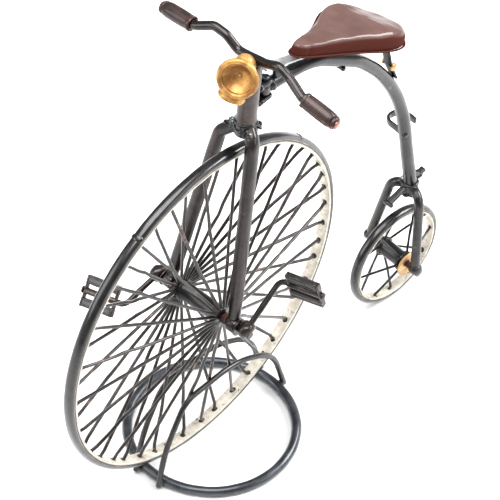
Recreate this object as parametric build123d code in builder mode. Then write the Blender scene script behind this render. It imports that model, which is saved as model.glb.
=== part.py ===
"""High-wheel bicycle ornament: bent steel rod, standing with its big wheel held in a ring stand.

The bicycle heads along +X, the rider's left is +Y and up is +Z, in millimetres.
Lengths along X are measured from the big wheel's axle until the pieces are saved,
and the origin is then moved under the middle of the whole ornament.
"""
from build123d import *
from math import cos, radians, sin, sqrt
import os

# Big wheel
front_radius = 110.0          # axle to the crown of the tyre
front_lift = 8.0              # the stand holds the big wheel this far off the table
tyre_width = 7.0
tyre_height = 3.0             # from the seat on the rim to the crown
rim_width = 6.8
rim_thickness = 2.0
rim_seat_width = 4.6          # raised middle of the rim that carries the tyre
rim_groove = 0.6              # depth of the dark line beside the seat
spoke_count = 48
spoke_radius = 0.95
spoke_faces = 6               # the many thin wires are kept to six flats each
spoke_gap = 0.25              # left at each end of a spoke
hub_barrel_radius = 4.8
hub_flange_radius = 8.2
hub_flange_thickness = 2.6
hub_flange_y = 12.0           # middle of each spoke flange
hub_half_length = 16.5
hub_nut_length = 3.6
hub_nut_width = 6.2           # across its flats
axle_radius = 2.2
running_gap = 0.1             # radial gap of every turning fit

# Cranks and pedals
crank_boss_radius = 4.3
crank_boss_clearance = 1.6    # from the fork blade's eye
crank_boss_length = 8.4
left_crank_length = 35.2
right_crank_length = 28.8
crank_rod_radius = 1.7
left_crank_angle = 145.0      # from straight ahead, turning up
right_crank_angle = -9.5
crank_bend = 4.6
pedal_clearance = 1.5         # from the outer end of the crank boss
pedal_sweep = 9.0             # both pins point this far back on the rider's left
pedal_rise = 8.5              # and this far up
pedal_gap = 0.3               # left at each end of the pedal
pedal_pin_head_radius = 2.4
pedal_pin_head_length = 1.6
pedal_length = 22.0           # between the outer faces of its two end plates
pedal_plate_thickness = 1.4
pedal_plate_height = 19.0
pedal_web_width = 3.2
tread_height = 5.6
tread_width = 3.8
tread_corner = 0.7
pedal_pin_radius = 1.2
pedal_sleeve_radius = 2.0
left_pedal_tilt = 81.0        # long side of the end plates, from straight ahead
right_pedal_tilt = 133.0

# Fork, head tube and handlebar. Heights in this group, the lamp's, the neck's and the saddle's
# are above the crown of the big tyre.
blade_radius = 3.8
blade_eye_clearance = 1.5     # from the hub nut
left_blade_shoulder = (-28.8, 11.0, 6.5)
right_blade_shoulder = (-28.8, 12.8, 3.5)
blade_top = (-33.5, 2.0, 9.0)
blade_bend = 6.0
blade_eye_radius = 4.6
blade_eye_width = 5.6
crown_radius = 6.8
crown_height = 9.5
head_radius = 5.8
head_bottom = (-33.0, 3.0)     # X and height where the crown starts on the head tube's axis
head_top = (-38.4, 53.4)
bar_radius = 2.75
bar_corners = (                # X, Y, height and bend radius of each bend on the rider's left
    (-38.6, 10.5, 54.3, 8.0),
    (-38.6, 20.0, 62.2, 7.0),
    (-38.3, 28.5, 62.4, 8.0),
    (-34.6, 39.3, 56.0, 7.0),
)
bar_end = (-35.5, 65.5, 51.6)
grip_radius = 4.1
grip_length = 21.5
grip_outer_y = 63.4
grip_gap = 0.1

# Lamp
lamp_middle = (-27.8, 0.6, 51.4)
lamp_tilt = 27.0              # the lens looks up by this much
lamp_turn = 18.0              # and to the rider's left by this much
lamp_body_radius = 6.2
lamp_body_up = 12.5           # body above the lens axis
lamp_body_down = 14.5
lamp_dome_height = 5.5
lamp_skirt_radius = 7.9
lamp_skirt_height = 5.5
lamp_lip_forward = 6.0        # from the body's axis to the rolled lip
lamp_bowl_radius = 11.9
lamp_bowl_back_radius = 7.4
lamp_bowl_behind = 0.7         # the bowl's back lies this far behind the body's axis
lamp_cup_radius = 8.5
lamp_cup_depth = 4.6
lamp_cup_fullness = 0.3       # how soon the dish flattens towards its middle
lamp_nub_radius = 1.2
lamp_nub_height = 0.8

# Neck and backbone
neck_x = -48.0                # upright steering pin
neck_height = 23.4
neck_pin_radius = 1.6
neck_pin_head_radius = 2.7
neck_pin_head_height = 1.4
neck_barrel_radius = 4.4
neck_barrel_height = 9.0
neck_lug_thickness = 2.6
neck_lug_gap = 0.3
frame_turn = -4.24            # degrees that the backbone stands to the left of straight
backbone_radius = 4.0
# degrees round the big wheel from straight ahead, gap to its tyre, bend radius
backbone_bows = (
    (122.1, 48.2, 45.0),
    (138.4, 52.6, 60.0),
    (156.7, 61.0, 148.0),
)
backbone_foot_back = 9.0      # behind the small axle
backbone_foot_rise = 57.0     # above the small axle

# Saddle and what carries it
saddle_nose = (-67.0, 42.3)   # X and height of the sole's front end
saddle_slope = 19.0           # the sole drops by this much towards the back
saddle_outline = (             # distance back from the nose along the sole, and half width
    (6.0, 4.8), (22.0, 8.8), (38.0, 13.6), (52.0, 18.3), (62.0, 20.8), (70.0, 20.2), (77.5, 12.4),
)
saddle_length = 80.5
saddle_thickness = 7.0
saddle_turn = 2.3             # degrees that its back stands to the rider's left
spring_width = 6.0
spring_thickness = 1.4
spring_bend = 6.0
spring_front = (-46.5, 42.2)
spring_back = (-134.8, 13.9)
spring_ends = ((149.0, 61.0), (153.6, 59.2))  # degrees round the big wheel, gap to its tyre
spring_post_x = -57.0
spring_post_radius = 2.2
spacer_radius = 2.4
spacer_distances = (12.0, 58.0)   # back from the nose along the sole
spacer_reach = 9.0
saddle_bolt_radius = 1.3
saddle_bolt_length = 9.0
saddle_bolt_head = 2.6
saddle_bolt_place = (150.0, 63.2)

# Small fittings on the backbone
loop_height = 104.7           # above the small axle
loop_reach = 14.0             # towards the rider's right
loop_strip_width = 2.6
loop_strip_thickness = 1.2
peg_place = (134.8, 46.1)     # degrees round the big wheel, gap to its tyre
peg_length = 9.0
peg_radius = 1.5

# Rear fork and small wheel
wheel_gap = 17.6              # between the two tyres, measured along the table
rear_radius = 35.0
rear_tyre_width = 6.0
rear_tyre_height = 2.6
rear_rim_width = 5.8
rear_rim_thickness = 1.6
rear_rim_seat_width = 3.8
rear_rim_groove = 0.5
rear_spoke_count = 12
rear_spoke_radius = 0.7
rear_hub_radius = 4.3
rear_flange_radius = 6.0
rear_flange_thickness = 2.0
rear_flange_y = 8.0
rear_hub_half_length = 10.6
washer_radius = 6.9
washer_thickness = 1.2
rear_axle_radius = 2.0
rear_axle_head_radius = 2.8
rear_axle_head_length = 1.0
rear_arm_radius = 2.9
left_boss_clearance = 2.6     # from the washer
right_boss_clearance = 5.6
rear_boss_radius = 4.2
rear_boss_length = 5.0
left_rear_shoulder = (-5.0, 12.2, 59.0)  # this and the next four are measured from the small axle
right_rear_shoulder = (-5.0, 10.2, 55.5)
rear_shoulder_bend = 6.0
rear_crown_radius = 5.2
rear_crown_height = 10.0
rear_crown_middle = (-9.2, 52.5)
step_front = (6.1, 45.5)
step_back = (-20.4, 60.5)
step_width = 5.0
step_thickness = 2.0
step_roll_radius = 1.6

# Stand
ring_radius = 49.6            # middle of the ring's rod
ring_rod_radius = 2.95
ring_centre = (-8.9, 1.2)
arch_y = 9.0
arch_wire_radius = 1.7
arch_foot_z = 0.4
arch_front_lean = 0.8         # how far the wire's end stands off the ring's side
arch_back_lean = 1.2
arch_front_bends = (           # inset from the front foot, Z and bend radius
    (5.7, 29.0, 90.0),
    (22.7, 57.8, 13.0),
)
arch_back_bends = (            # inset from the back foot, Z and bend radius
    (43.4, 57.4, 60.0),
    (10.9, 38.0, 40.0),
)

front_hub_z = front_radius + front_lift
wheel_top = front_hub_z + front_radius
rear_hub_z = rear_radius
wheelbase = front_radius + wheel_gap + rear_radius
blade_foot_y = hub_half_length + hub_nut_length + blade_eye_clearance + blade_eye_width / 2
crank_boss_inner_y = blade_foot_y + blade_eye_width / 2 + crank_boss_clearance
rear_hub_end = rear_hub_half_length + washer_thickness
arch_reach = sqrt((ring_radius + ring_rod_radius + arch_wire_radius) ** 2 - (arch_y + ring_centre[1]) ** 2)
neck_z = wheel_top + neck_height
overall_back = -neck_x + (wheelbase + rear_radius + neck_x) * cos(radians(frame_turn))
origin_shift = (overall_back - front_radius) / 2

steer = (Location((neck_x, 0, 0), (0, 0, frame_turn)) * Location((-neck_x, 0, 0)))
to_origin = Location((origin_shift, 0, 0))

os.makedirs("parts", exist_ok=True)


def round_big_wheel(angle, gap):
    """Point in the middle plane at an angle from straight ahead and a gap outside the big tyre."""
    distance = front_radius + gap
    return Vector(distance * cos(radians(angle)), 0, front_hub_z + distance * sin(radians(angle)))


def from_small_axle(x, z):
    """Point in the middle plane measured from the small wheel's axle."""
    return Vector(x - wheelbase, 0, z + rear_hub_z)


def save(part, name, on_frame=False):
    """Moves a finished piece to its place in the ornament and writes it."""
    place = to_origin * steer if on_frame else to_origin
    placed = place * part
    placed.label = name
    export_step(placed, f"parts/{name}.step")


def wheel_plane(hub_x, hub_z):
    """Plane through an axle whose local x runs along the axle and local y outwards."""
    return Plane(origin=(hub_x, 0, hub_z), x_dir=(0, 1, 0), z_dir=(1, 0, 0))


def across(hub_x, hub_z, y):
    """Plane square to an axle at a distance y to the rider's left of the middle."""
    return Plane(origin=(hub_x, y, hub_z), x_dir=(1, 0, 0), z_dir=(0, 1, 0))


def bent_rod(corners, bends, rod_radius):
    """Round rod along straight runs joined by arcs."""
    with BuildPart() as rod:
        with BuildLine() as route:
            FilletPolyline(*corners, radius=bends)
        with BuildSketch(Plane(origin=route.line @ 0, z_dir=route.line % 0)):
            Circle(rod_radius)
        sweep(path=route.line)
    return rod.part


def wheel_ring(hub_x, hub_z, outline):
    """Ring turned about an axle from an outline of (across, outwards) points."""
    with BuildPart() as ring:
        with BuildSketch(wheel_plane(hub_x, hub_z)):
            with BuildLine():
                Polyline(*outline, close=True)
            make_face()
        revolve(axis=Axis((hub_x, 0, hub_z), (0, 1, 0)))
    return ring.part


def tyre(hub_x, hub_z, radius, width, height):
    """Half-round band whose flat side sits on the rim."""
    seat = radius - height
    with BuildPart() as band:
        with BuildSketch(wheel_plane(hub_x, hub_z)):
            with BuildLine():
                Line((-width / 2, seat), (width / 2, seat))
                ThreePointArc((width / 2, seat), (0, radius), (-width / 2, seat))
            make_face()
        revolve(axis=Axis((hub_x, 0, hub_z), (0, 1, 0)))
    return band.part


def rim_outline(seat, width, thickness, seat_width, groove):
    """Flat hoop with a raised seat for the tyre and a groove at each side of it."""
    inner = seat - thickness
    return (
        (-width / 2, inner), (width / 2, inner), (width / 2, seat - groove),
        (seat_width / 2, seat - groove),
        (seat_width / 2, seat), (-seat_width / 2, seat), (-seat_width / 2, seat - groove),
        (-width / 2, seat - groove),
    )


def hub_outline(half_length, bore, barrel, flange_y, flange_thickness, flange_radius):
    """Barrel with a spoke flange near each end, as half of its lengthwise section."""
    flange_out = flange_y + flange_thickness / 2
    flange_in = flange_y - flange_thickness / 2
    return (
        (-half_length, bore), (half_length, bore), (half_length, barrel), (flange_out, barrel),
        (flange_out, flange_radius), (flange_in, flange_radius), (flange_in, barrel), (-flange_in, barrel),
        (-flange_in, flange_radius), (-flange_out, flange_radius), (-flange_out, barrel),
        (-half_length, barrel),
    )


def spokes(hub_x, hub_z, count, wire, inner, outer, flange_y):
    """Straight wires from alternate flanges to the middle of the rim, none touching another."""
    with BuildPart() as wires:
        for number in range(count):
            turn = radians(360 / count * number)
            side = flange_y if number % 2 == 0 else -flange_y
            foot = Vector(hub_x + inner * cos(turn), side, hub_z + inner * sin(turn))
            tip = Vector(hub_x + outer * cos(turn), 0, hub_z + outer * sin(turn))
            with BuildSketch(Plane(origin=foot, z_dir=tip - foot)):
                RegularPolygon(wire, spoke_faces)
            extrude(amount=(tip - foot).length)
    return wires.part


pedal_level = cos(radians(pedal_rise))
pedal_axis = Vector(-sin(radians(pedal_sweep)) * pedal_level, cos(radians(pedal_sweep)) * pedal_level,
                    sin(radians(pedal_rise)))

# Front wheel
front_seat = front_radius - tyre_height
front_rim_inner = front_seat - rim_thickness
save(tyre(0, front_hub_z, front_radius, tyre_width, tyre_height), "front_tyre")
front_rim_line = rim_outline(front_seat, rim_width, rim_thickness, rim_seat_width, rim_groove)
save(wheel_ring(0, front_hub_z, front_rim_line), "front_rim")
save(spokes(0, front_hub_z, spoke_count, spoke_radius, hub_flange_radius + spoke_gap,
            front_rim_inner - spoke_gap, hub_flange_y), "front_spokes")

save(wheel_ring(0, front_hub_z, hub_outline(hub_half_length, axle_radius, hub_barrel_radius, hub_flange_y,
                                            hub_flange_thickness, hub_flange_radius)), "front_hub")

axle_half_length = crank_boss_inner_y + crank_boss_length
with BuildPart() as front_axle:
    with BuildSketch(across(0, front_hub_z, -axle_half_length)):
        Circle(axle_radius)
    extrude(amount=2 * axle_half_length)
save(front_axle.part, "front_axle")

# Fork crown, head tube and handlebar, all on the raked steering axis
head_axis = Vector(head_top[0] - head_bottom[0], 0, head_top[1] - head_bottom[1])
head_base = Vector(head_bottom[0], 0, wheel_top + head_bottom[1])
crown_plane = Plane(origin=head_base, x_dir=(0, 1, 0), z_dir=head_axis)
with BuildPart() as fork_crown:
    with BuildSketch(crown_plane):
        Circle(crown_radius)
    extrude(amount=crown_height)
save(fork_crown.part, "fork_crown")

end_x, end_y, end_height = bar_end
left_bar = [Vector(end_x, end_y, wheel_top + end_height)]
left_bar += [Vector(x, y, wheel_top + height) for x, y, height, _ in bar_corners[::-1]]
right_bar = [Vector(point.X, -point.Y, point.Z) for point in left_bar[::-1]]
left_bends = [bend for _, _, _, bend in bar_corners[::-1]]
handlebar = bent_rod(left_bar + right_bar, left_bends + left_bends[::-1], bar_radius)
save(handlebar, "handlebar")

with BuildPart() as head_tube:
    with BuildSketch(crown_plane.offset(crown_height)):
        Circle(head_radius)
    extrude(amount=head_axis.length - crown_height)
    add(handlebar, mode=Mode.SUBTRACT)
save(head_tube.part, "head_tube")

for side_name, side, crank_length, crank_angle, pedal_tilt, blade_shoulder in (
    ("left", 1, left_crank_length, left_crank_angle, left_pedal_tilt, left_blade_shoulder),
    ("right", -1, right_crank_length, right_crank_angle, right_pedal_tilt, right_blade_shoulder),
):
    reach = Vector(cos(radians(crank_angle)), 0, sin(radians(crank_angle)))
    pin_x = crank_length * reach.X
    pin_z = front_hub_z + crank_length * reach.Z
    boss_middle_y = side * (crank_boss_inner_y + crank_boss_length / 2)
    outward = pedal_axis * side

    with BuildPart() as hub_nut:
        with BuildSketch(across(0, front_hub_z, side * hub_half_length)):
            RegularPolygon(hub_nut_width / 2, 6, major_radius=False)
            Circle(axle_radius, mode=Mode.SUBTRACT)
        extrude(amount=side * hub_nut_length)
    save(hub_nut.part, f"{side_name}_hub_nut")

    with BuildPart() as crank_boss:
        with BuildSketch(across(0, front_hub_z, boss_middle_y)):
            Circle(crank_boss_radius)
            Circle(axle_radius, mode=Mode.SUBTRACT)
        extrude(amount=crank_boss_length / 2, both=True)
    save(crank_boss.part, f"{side_name}_crank_boss")

    # The rod leaves the boss, bends outwards and ends as the pedal's pin
    rod_start = Vector(0, boss_middle_y, front_hub_z) + reach * axle_radius
    rod_corner = Vector(pin_x, boss_middle_y, pin_z)
    pedal_start = rod_corner + outward * (crank_boss_length / 2 + pedal_clearance)
    rod_end = pedal_start - outward * pedal_gap
    with BuildPart() as crank:
        with BuildLine() as route:
            FilletPolyline(rod_start, rod_corner, rod_end, radius=crank_bend)
        with BuildSketch(Plane(origin=route.line @ 0, z_dir=route.line % 0)):
            Circle(crank_rod_radius)
        sweep(path=route.line)
        with BuildSketch(Plane(origin=rod_end, z_dir=outward)):
            Circle(pedal_pin_radius)
        extrude(amount=pedal_length + 2 * pedal_gap)
        with BuildSketch(Plane(origin=pedal_start + outward * (pedal_length + pedal_gap), z_dir=outward)):
            Circle(pedal_pin_head_radius)
        extrude(amount=pedal_pin_head_length)
        add(crank_boss.part, mode=Mode.SUBTRACT)
    boss_side = crank.part.solids().sort_by(lambda solid: solid.volume)[-1]
    save(boss_side, f"{side_name}_crank")

    pedal_up = Vector(cos(radians(pedal_tilt)), 0, sin(radians(pedal_tilt)))
    pedal_up = pedal_up - outward * pedal_up.dot(outward)
    pedal_plane = Plane(origin=pedal_start, x_dir=pedal_up, z_dir=outward)
    last_plate = pedal_length - pedal_plate_thickness
    tread_offset = (pedal_plate_height - tread_height) / 2
    with BuildPart() as pedal_cage:
        for distance in (0, last_plate):
            with BuildSketch(pedal_plane.offset(distance)):
                Rectangle(2 * tread_offset, pedal_web_width)
                with Locations((tread_offset, 0), (-tread_offset, 0)):
                    RectangleRounded(tread_height, tread_width, tread_corner)
            extrude(amount=pedal_plate_thickness)
        with BuildSketch(pedal_plane):
            Circle(pedal_sleeve_radius)
        extrude(amount=pedal_length)
        with BuildSketch(pedal_plane):
            Circle(pedal_pin_radius + running_gap)
        extrude(amount=pedal_length, mode=Mode.SUBTRACT)
    save(pedal_cage.part, f"{side_name}_pedal_cage")

    with BuildPart() as treads:
        with BuildSketch(pedal_plane.offset(pedal_plate_thickness)):
            with Locations((tread_offset, 0), (-tread_offset, 0)):
                RectangleRounded(tread_height, tread_width, tread_corner)
        extrude(amount=pedal_length - 2 * pedal_plate_thickness)
    save(treads.part, f"{side_name}_pedal_treads")

    shoulder = (blade_shoulder[0], side * blade_shoulder[1], wheel_top + blade_shoulder[2])
    top = (blade_top[0], side * blade_top[1], wheel_top + blade_top[2])
    foot = (0, side * blade_foot_y, front_hub_z)
    with BuildPart() as blade:
        with BuildLine() as route:
            FilletPolyline(foot, shoulder, top, radius=blade_bend)
        with BuildSketch(Plane(origin=route.line @ 0, z_dir=route.line % 0)):
            Circle(blade_radius)
        sweep(path=route.line)
        with BuildSketch(across(0, front_hub_z, side * blade_foot_y)):
            Circle(blade_eye_radius)
        extrude(amount=blade_eye_width / 2, both=True)
        with BuildSketch(across(0, front_hub_z, side * blade_foot_y)):
            Circle(axle_radius + running_gap)
        extrude(amount=blade_eye_width, both=True, mode=Mode.SUBTRACT)
        add(fork_crown.part, mode=Mode.SUBTRACT)
    outer_blade = blade.part.solids().sort_by(lambda solid: solid.volume)[-1]
    save(outer_blade, f"{side_name}_fork_blade")

    bar_tip, last_bend = (left_bar[0], left_bar[1]) if side == 1 else (right_bar[-1], right_bar[-2])
    grip_way = bar_tip - last_bend
    grip_start = last_bend + grip_way * ((side * grip_outer_y - last_bend.Y) / grip_way.Y)
    with BuildPart() as grip:
        with BuildSketch(Plane(origin=grip_start, z_dir=-grip_way)):
            Circle(grip_radius)
            Circle(bar_radius + grip_gap, mode=Mode.SUBTRACT)
        extrude(amount=grip_length)
    save(grip.part, f"{side_name}_grip")

# Lamp, welded to the front of the head tube
lamp_x, lamp_y, lamp_height = lamp_middle
lamp_heading = (cos(radians(lamp_turn)), sin(radians(lamp_turn)), 0)
level_lamp = Plane(origin=(lamp_x, lamp_y, wheel_top + lamp_height), x_dir=lamp_heading, z_dir=(0, 0, 1))
lamp_plane = level_lamp.rotated((0, -lamp_tilt, 0))
lens_way = lamp_plane.x_dir
cup_floor = lamp_lip_forward - lamp_cup_depth
nub_top = cup_floor + lamp_nub_height
lip_roll = (lamp_bowl_radius - lamp_cup_radius) / 2
dish_middle = (cup_floor + lamp_cup_fullness * lamp_cup_depth, (lamp_cup_radius + lamp_nub_radius) / 2)
with BuildPart() as lamp_bowl:
    with BuildSketch(lamp_plane):
        with BuildLine():
            Polyline((cup_floor, lamp_nub_radius), (nub_top, lamp_nub_radius), (nub_top, 0),
                     (-lamp_bowl_behind, 0), (-lamp_bowl_behind, lamp_bowl_back_radius),
                     (lamp_lip_forward, lamp_bowl_radius))
            ThreePointArc((lamp_lip_forward, lamp_bowl_radius),
                          (lamp_lip_forward + lip_roll, lamp_bowl_radius - lip_roll),
                          (lamp_lip_forward, lamp_cup_radius))
            ThreePointArc((lamp_lip_forward, lamp_cup_radius), dish_middle, (cup_floor, lamp_nub_radius))
        make_face()
    revolve(axis=Axis(lamp_plane.origin, lens_way))
save(lamp_bowl.part, "lamp_bowl")

dome_base = lamp_body_up - lamp_dome_height
dome_radius = (lamp_body_radius ** 2 + lamp_dome_height ** 2) / (2 * lamp_dome_height)
dome_centre = lamp_body_up - dome_radius
dome_middle = (dome_radius * cos(radians(45)), dome_centre + dome_radius * sin(radians(45)))
with BuildPart() as lamp_body:
    with BuildSketch(Plane(origin=lamp_plane.origin, x_dir=lens_way, z_dir=-lamp_plane.y_dir)):
        with BuildLine():
            Polyline((0, lamp_body_up), (0, -lamp_body_down), (lamp_skirt_radius, -lamp_body_down),
                     (lamp_body_radius, lamp_skirt_height - lamp_body_down), (lamp_body_radius, dome_base))
            ThreePointArc((lamp_body_radius, dome_base), dome_middle, (0, lamp_body_up))
        make_face()
    revolve(axis=Axis(lamp_plane.origin, lamp_plane.z_dir))
    add(lamp_bowl.part, mode=Mode.SUBTRACT)
    add(head_tube.part, mode=Mode.SUBTRACT)
    add(handlebar, mode=Mode.SUBTRACT)
lamp_shell = lamp_body.part.solids().sort_by(lambda solid: solid.volume)[-1]
save(lamp_shell, "lamp_body")

# Neck: two lugs behind the head tube with the upright pin through them
lug_reach = -neck_x + head_bottom[0]
lug_step = neck_barrel_height / 2 + neck_lug_gap
for lug_name, lug_z in (("lower", neck_z - lug_step - neck_lug_thickness), ("upper", neck_z + lug_step)):
    with BuildPart() as neck_lug:
        with BuildSketch(Plane(origin=(neck_x, 0, lug_z))):
            Circle(neck_barrel_radius)
            with Locations((lug_reach / 2, 0)):
                Rectangle(lug_reach, 2 * neck_barrel_radius)
            Circle(neck_pin_radius, mode=Mode.SUBTRACT)
        extrude(amount=neck_lug_thickness)
        add(head_tube.part, mode=Mode.SUBTRACT)
    save(neck_lug.part, f"{lug_name}_neck_lug")

pin_bottom = neck_z - lug_step - neck_lug_thickness - neck_pin_head_height
pin_top = neck_z + lug_step + neck_lug_thickness
with BuildPart() as neck_pin:
    with BuildSketch(Plane(origin=(neck_x, 0, pin_bottom))):
        Circle(neck_pin_radius)
    extrude(amount=pin_top - pin_bottom + neck_pin_head_height)
    for head_z in (pin_bottom, pin_top):
        with BuildSketch(Plane(origin=(neck_x, 0, head_z))):
            Circle(neck_pin_head_radius)
        extrude(amount=neck_pin_head_height)
save(neck_pin.part, "neck_pin")

# Stand: a ring of rod with an arch of wire on each side of the wheel
with BuildPart() as stand_ring:
    with BuildSketch(Plane.XZ.offset(-ring_centre[1])):
        with Locations((ring_centre[0] + ring_radius, ring_rod_radius)):
            Circle(ring_rod_radius)
    revolve(axis=Axis((ring_centre[0], ring_centre[1], 0), (0, 0, 1)))
save(stand_ring.part, "stand_ring")

front_foot_x = ring_centre[0] + arch_reach + arch_front_lean
back_foot_x = ring_centre[0] - arch_reach - arch_back_lean
arch_bends = [bend for _, _, bend in arch_front_bends + arch_back_bends]
arch_profile = [(front_foot_x, arch_foot_z)]
arch_profile += [(front_foot_x - inset, z) for inset, z, _ in arch_front_bends]
arch_profile += [(back_foot_x + inset, z) for inset, z, _ in arch_back_bends]
arch_profile.append((back_foot_x, arch_foot_z))
for side_name, side in (("left", 1), ("right", -1)):
    arch_route = [(x, side * arch_y, z) for x, z in arch_profile]
    with BuildPart() as arch:
        add(bent_rod(arch_route, arch_bends, arch_wire_radius))
        add(stand_ring.part, mode=Mode.SUBTRACT)
    save(arch.part, f"{side_name}_arch")

# Backbone and the barrel that turns on the neck pin
with BuildPart() as neck_barrel:
    with BuildSketch(Plane(origin=(neck_x, 0, neck_z - neck_barrel_height / 2))):
        Circle(neck_barrel_radius)
        Circle(neck_pin_radius + running_gap, mode=Mode.SUBTRACT)
    extrude(amount=neck_barrel_height)
save(neck_barrel.part, "neck_barrel", on_frame=True)

backbone_foot = from_small_axle(-backbone_foot_back, backbone_foot_rise)
bow_corners = [round_big_wheel(angle, gap) for angle, gap, _ in backbone_bows]
backbone_route = [Vector(neck_x - neck_pin_radius - 2 * running_gap, 0, neck_z), *bow_corners, backbone_foot]
backbone_bends = [bend for _, _, bend in backbone_bows]
with BuildPart() as backbone:
    add(bent_rod(backbone_route, backbone_bends, backbone_radius))
    add(neck_barrel.part, mode=Mode.SUBTRACT)
backbone_tube = backbone.part.solids().sort_by(lambda solid: solid.volume)[-1]
save(backbone_tube, "backbone", on_frame=True)

# Saddle
sole_back = Vector(-cos(radians(saddle_slope)), 0, -sin(radians(saddle_slope)))
sole_up = Vector(-sin(radians(saddle_slope)), 0, cos(radians(saddle_slope)))
level_sole = Plane(origin=(saddle_nose[0], 0, wheel_top + saddle_nose[1]), x_dir=sole_back, z_dir=sole_up)
sole_plane = level_sole.rotated((0, 0, -saddle_turn))
with BuildPart() as saddle:
    with BuildSketch(sole_plane):
        with BuildLine():
            left_edge = Spline(*[(back, half) for back, half in saddle_outline])
            right_edge = Spline(*[(back, -half) for back, half in saddle_outline])
            ThreePointArc(left_edge @ 0, (0, 0), right_edge @ 0)
            ThreePointArc(left_edge @ 1, (saddle_length, 0), right_edge @ 1)
        make_face()
    extrude(amount=saddle_thickness)
save(saddle.part, "saddle", on_frame=True)

# Leaf spring from the neck, back under the saddle and down to the backbone
with BuildPart() as saddle_spring:
    with BuildLine() as route:
        FilletPolyline(
            (spring_front[0], 0, wheel_top + spring_front[1]),
            (spring_back[0], 0, wheel_top + spring_back[1]),
            *[round_big_wheel(angle, gap) for angle, gap in spring_ends], radius=spring_bend)
    with BuildSketch(Plane(origin=route.line @ 0, x_dir=(0, 1, 0), z_dir=route.line % 0)):
        Rectangle(spring_width, spring_thickness)
    sweep(path=route.line)
    add(backbone_tube, mode=Mode.SUBTRACT)
save(saddle_spring.part, "saddle_spring", on_frame=True)

with BuildPart() as spring_post:
    with BuildSketch(Plane(origin=(spring_post_x, 0, neck_z))):
        Circle(spring_post_radius)
    extrude(amount=spring_front[1] - neck_height)
    add(saddle_spring.part, mode=Mode.SUBTRACT)
    add(backbone_tube, mode=Mode.SUBTRACT)
post_under_spring = spring_post.part.solids().sort_by(lambda solid: solid.volume)[-1]
save(post_under_spring, "spring_post", on_frame=True)

with BuildPart() as spacers:
    with BuildSketch(sole_plane):
        with Locations(*[(distance, 0) for distance in spacer_distances]):
            Circle(spacer_radius)
    extrude(amount=-spacer_reach)
    add(saddle_spring.part, mode=Mode.SUBTRACT)
above_spring = spacers.part.solids().sort_by(lambda solid: solid.volume)[-2:]
for spacer_name, spacer in zip(("rear", "front"), above_spring.sort_by(Axis.X)):
    save(spacer, f"{spacer_name}_saddle_spacer", on_frame=True)

bolt_middle = round_big_wheel(*saddle_bolt_place)
with BuildPart() as saddle_bolt:
    with BuildSketch(across(bolt_middle.X, bolt_middle.Z, -saddle_bolt_length / 2)):
        Circle(saddle_bolt_radius)
    extrude(amount=saddle_bolt_length)
    with BuildSketch(across(bolt_middle.X, bolt_middle.Z, saddle_bolt_length / 2)):
        RegularPolygon(saddle_bolt_head, 6)
    extrude(amount=saddle_bolt_radius * 2)
    add(saddle_spring.part, mode=Mode.SUBTRACT)
    add(backbone_tube, mode=Mode.SUBTRACT)
save(saddle_bolt.part, "saddle_bolt", on_frame=True)

# Step loop and peg on the backbone
foot_way = bow_corners[-1] - backbone_foot
loop_z = rear_hub_z + loop_height
loop_x = backbone_foot.X + foot_way.X * (loop_z - backbone_foot.Z) / foot_way.Z
leg_x = backbone_radius + loop_strip_thickness / 2
with BuildPart() as step_loop:
    with BuildLine() as route:
        FilletPolyline(
            (loop_x + leg_x, 0, loop_z), (loop_x + leg_x, -loop_reach, loop_z),
            (loop_x - leg_x, -loop_reach, loop_z), (loop_x - leg_x, 0, loop_z), radius=leg_x - 0.2)
    with BuildSketch(Plane(origin=route.line @ 0, x_dir=(0, 0, 1), z_dir=route.line % 0)):
        Rectangle(loop_strip_width, loop_strip_thickness)
    sweep(path=route.line)
    add(backbone_tube, mode=Mode.SUBTRACT)
save(step_loop.part, "step_loop", on_frame=True)

peg_middle = round_big_wheel(*peg_place)
with BuildPart() as peg:
    with BuildSketch(across(peg_middle.X, peg_middle.Z, -peg_length / 2)):
        Circle(peg_radius)
    extrude(amount=peg_length)
    add(backbone_tube, mode=Mode.SUBTRACT)
save(peg.part, "peg", on_frame=True)

# Rear fork, with the axle held in its two bosses
crown_middle = from_small_axle(*rear_crown_middle)
step_tip = from_small_axle(*step_front)
step_tail = from_small_axle(*step_back)
step_way = step_tip - step_tail
with BuildPart() as rear_crown:
    with BuildSketch(Plane(origin=crown_middle - Vector(0, 0, rear_crown_height / 2))):
        Circle(rear_crown_radius)
    extrude(amount=rear_crown_height)
    add(backbone_tube, mode=Mode.SUBTRACT)
    with BuildSketch(Plane(origin=step_tail, x_dir=(0, 1, 0), z_dir=step_way)):
        Rectangle(step_width, step_thickness)
    extrude(amount=step_way.length, mode=Mode.SUBTRACT)
save(rear_crown.part, "rear_crown", on_frame=True)

with BuildPart() as step_bar:
    with BuildSketch(Plane(origin=step_tail, x_dir=(0, 1, 0), z_dir=step_way)):
        Rectangle(step_width, step_thickness)
    extrude(amount=step_way.length)
    with BuildSketch(across(step_tip.X, step_tip.Z, -step_width / 2 - step_roll_radius)):
        Circle(step_roll_radius)
    extrude(amount=step_width + 2 * step_roll_radius)
    add(backbone_tube, mode=Mode.SUBTRACT)
save(step_bar.part, "step_bar", on_frame=True)

axle_left = rear_hub_end + left_boss_clearance + rear_boss_length
axle_right = -rear_hub_end - right_boss_clearance - rear_boss_length
with BuildPart() as rear_axle:
    with BuildSketch(across(-wheelbase, rear_hub_z, axle_right)):
        Circle(rear_axle_radius)
    extrude(amount=axle_left - axle_right)
    for head_y in (axle_left, axle_right - rear_axle_head_length):
        with BuildSketch(across(-wheelbase, rear_hub_z, head_y)):
            Circle(rear_axle_head_radius)
        extrude(amount=rear_axle_head_length)
save(rear_axle.part, "rear_axle", on_frame=True)

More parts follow.
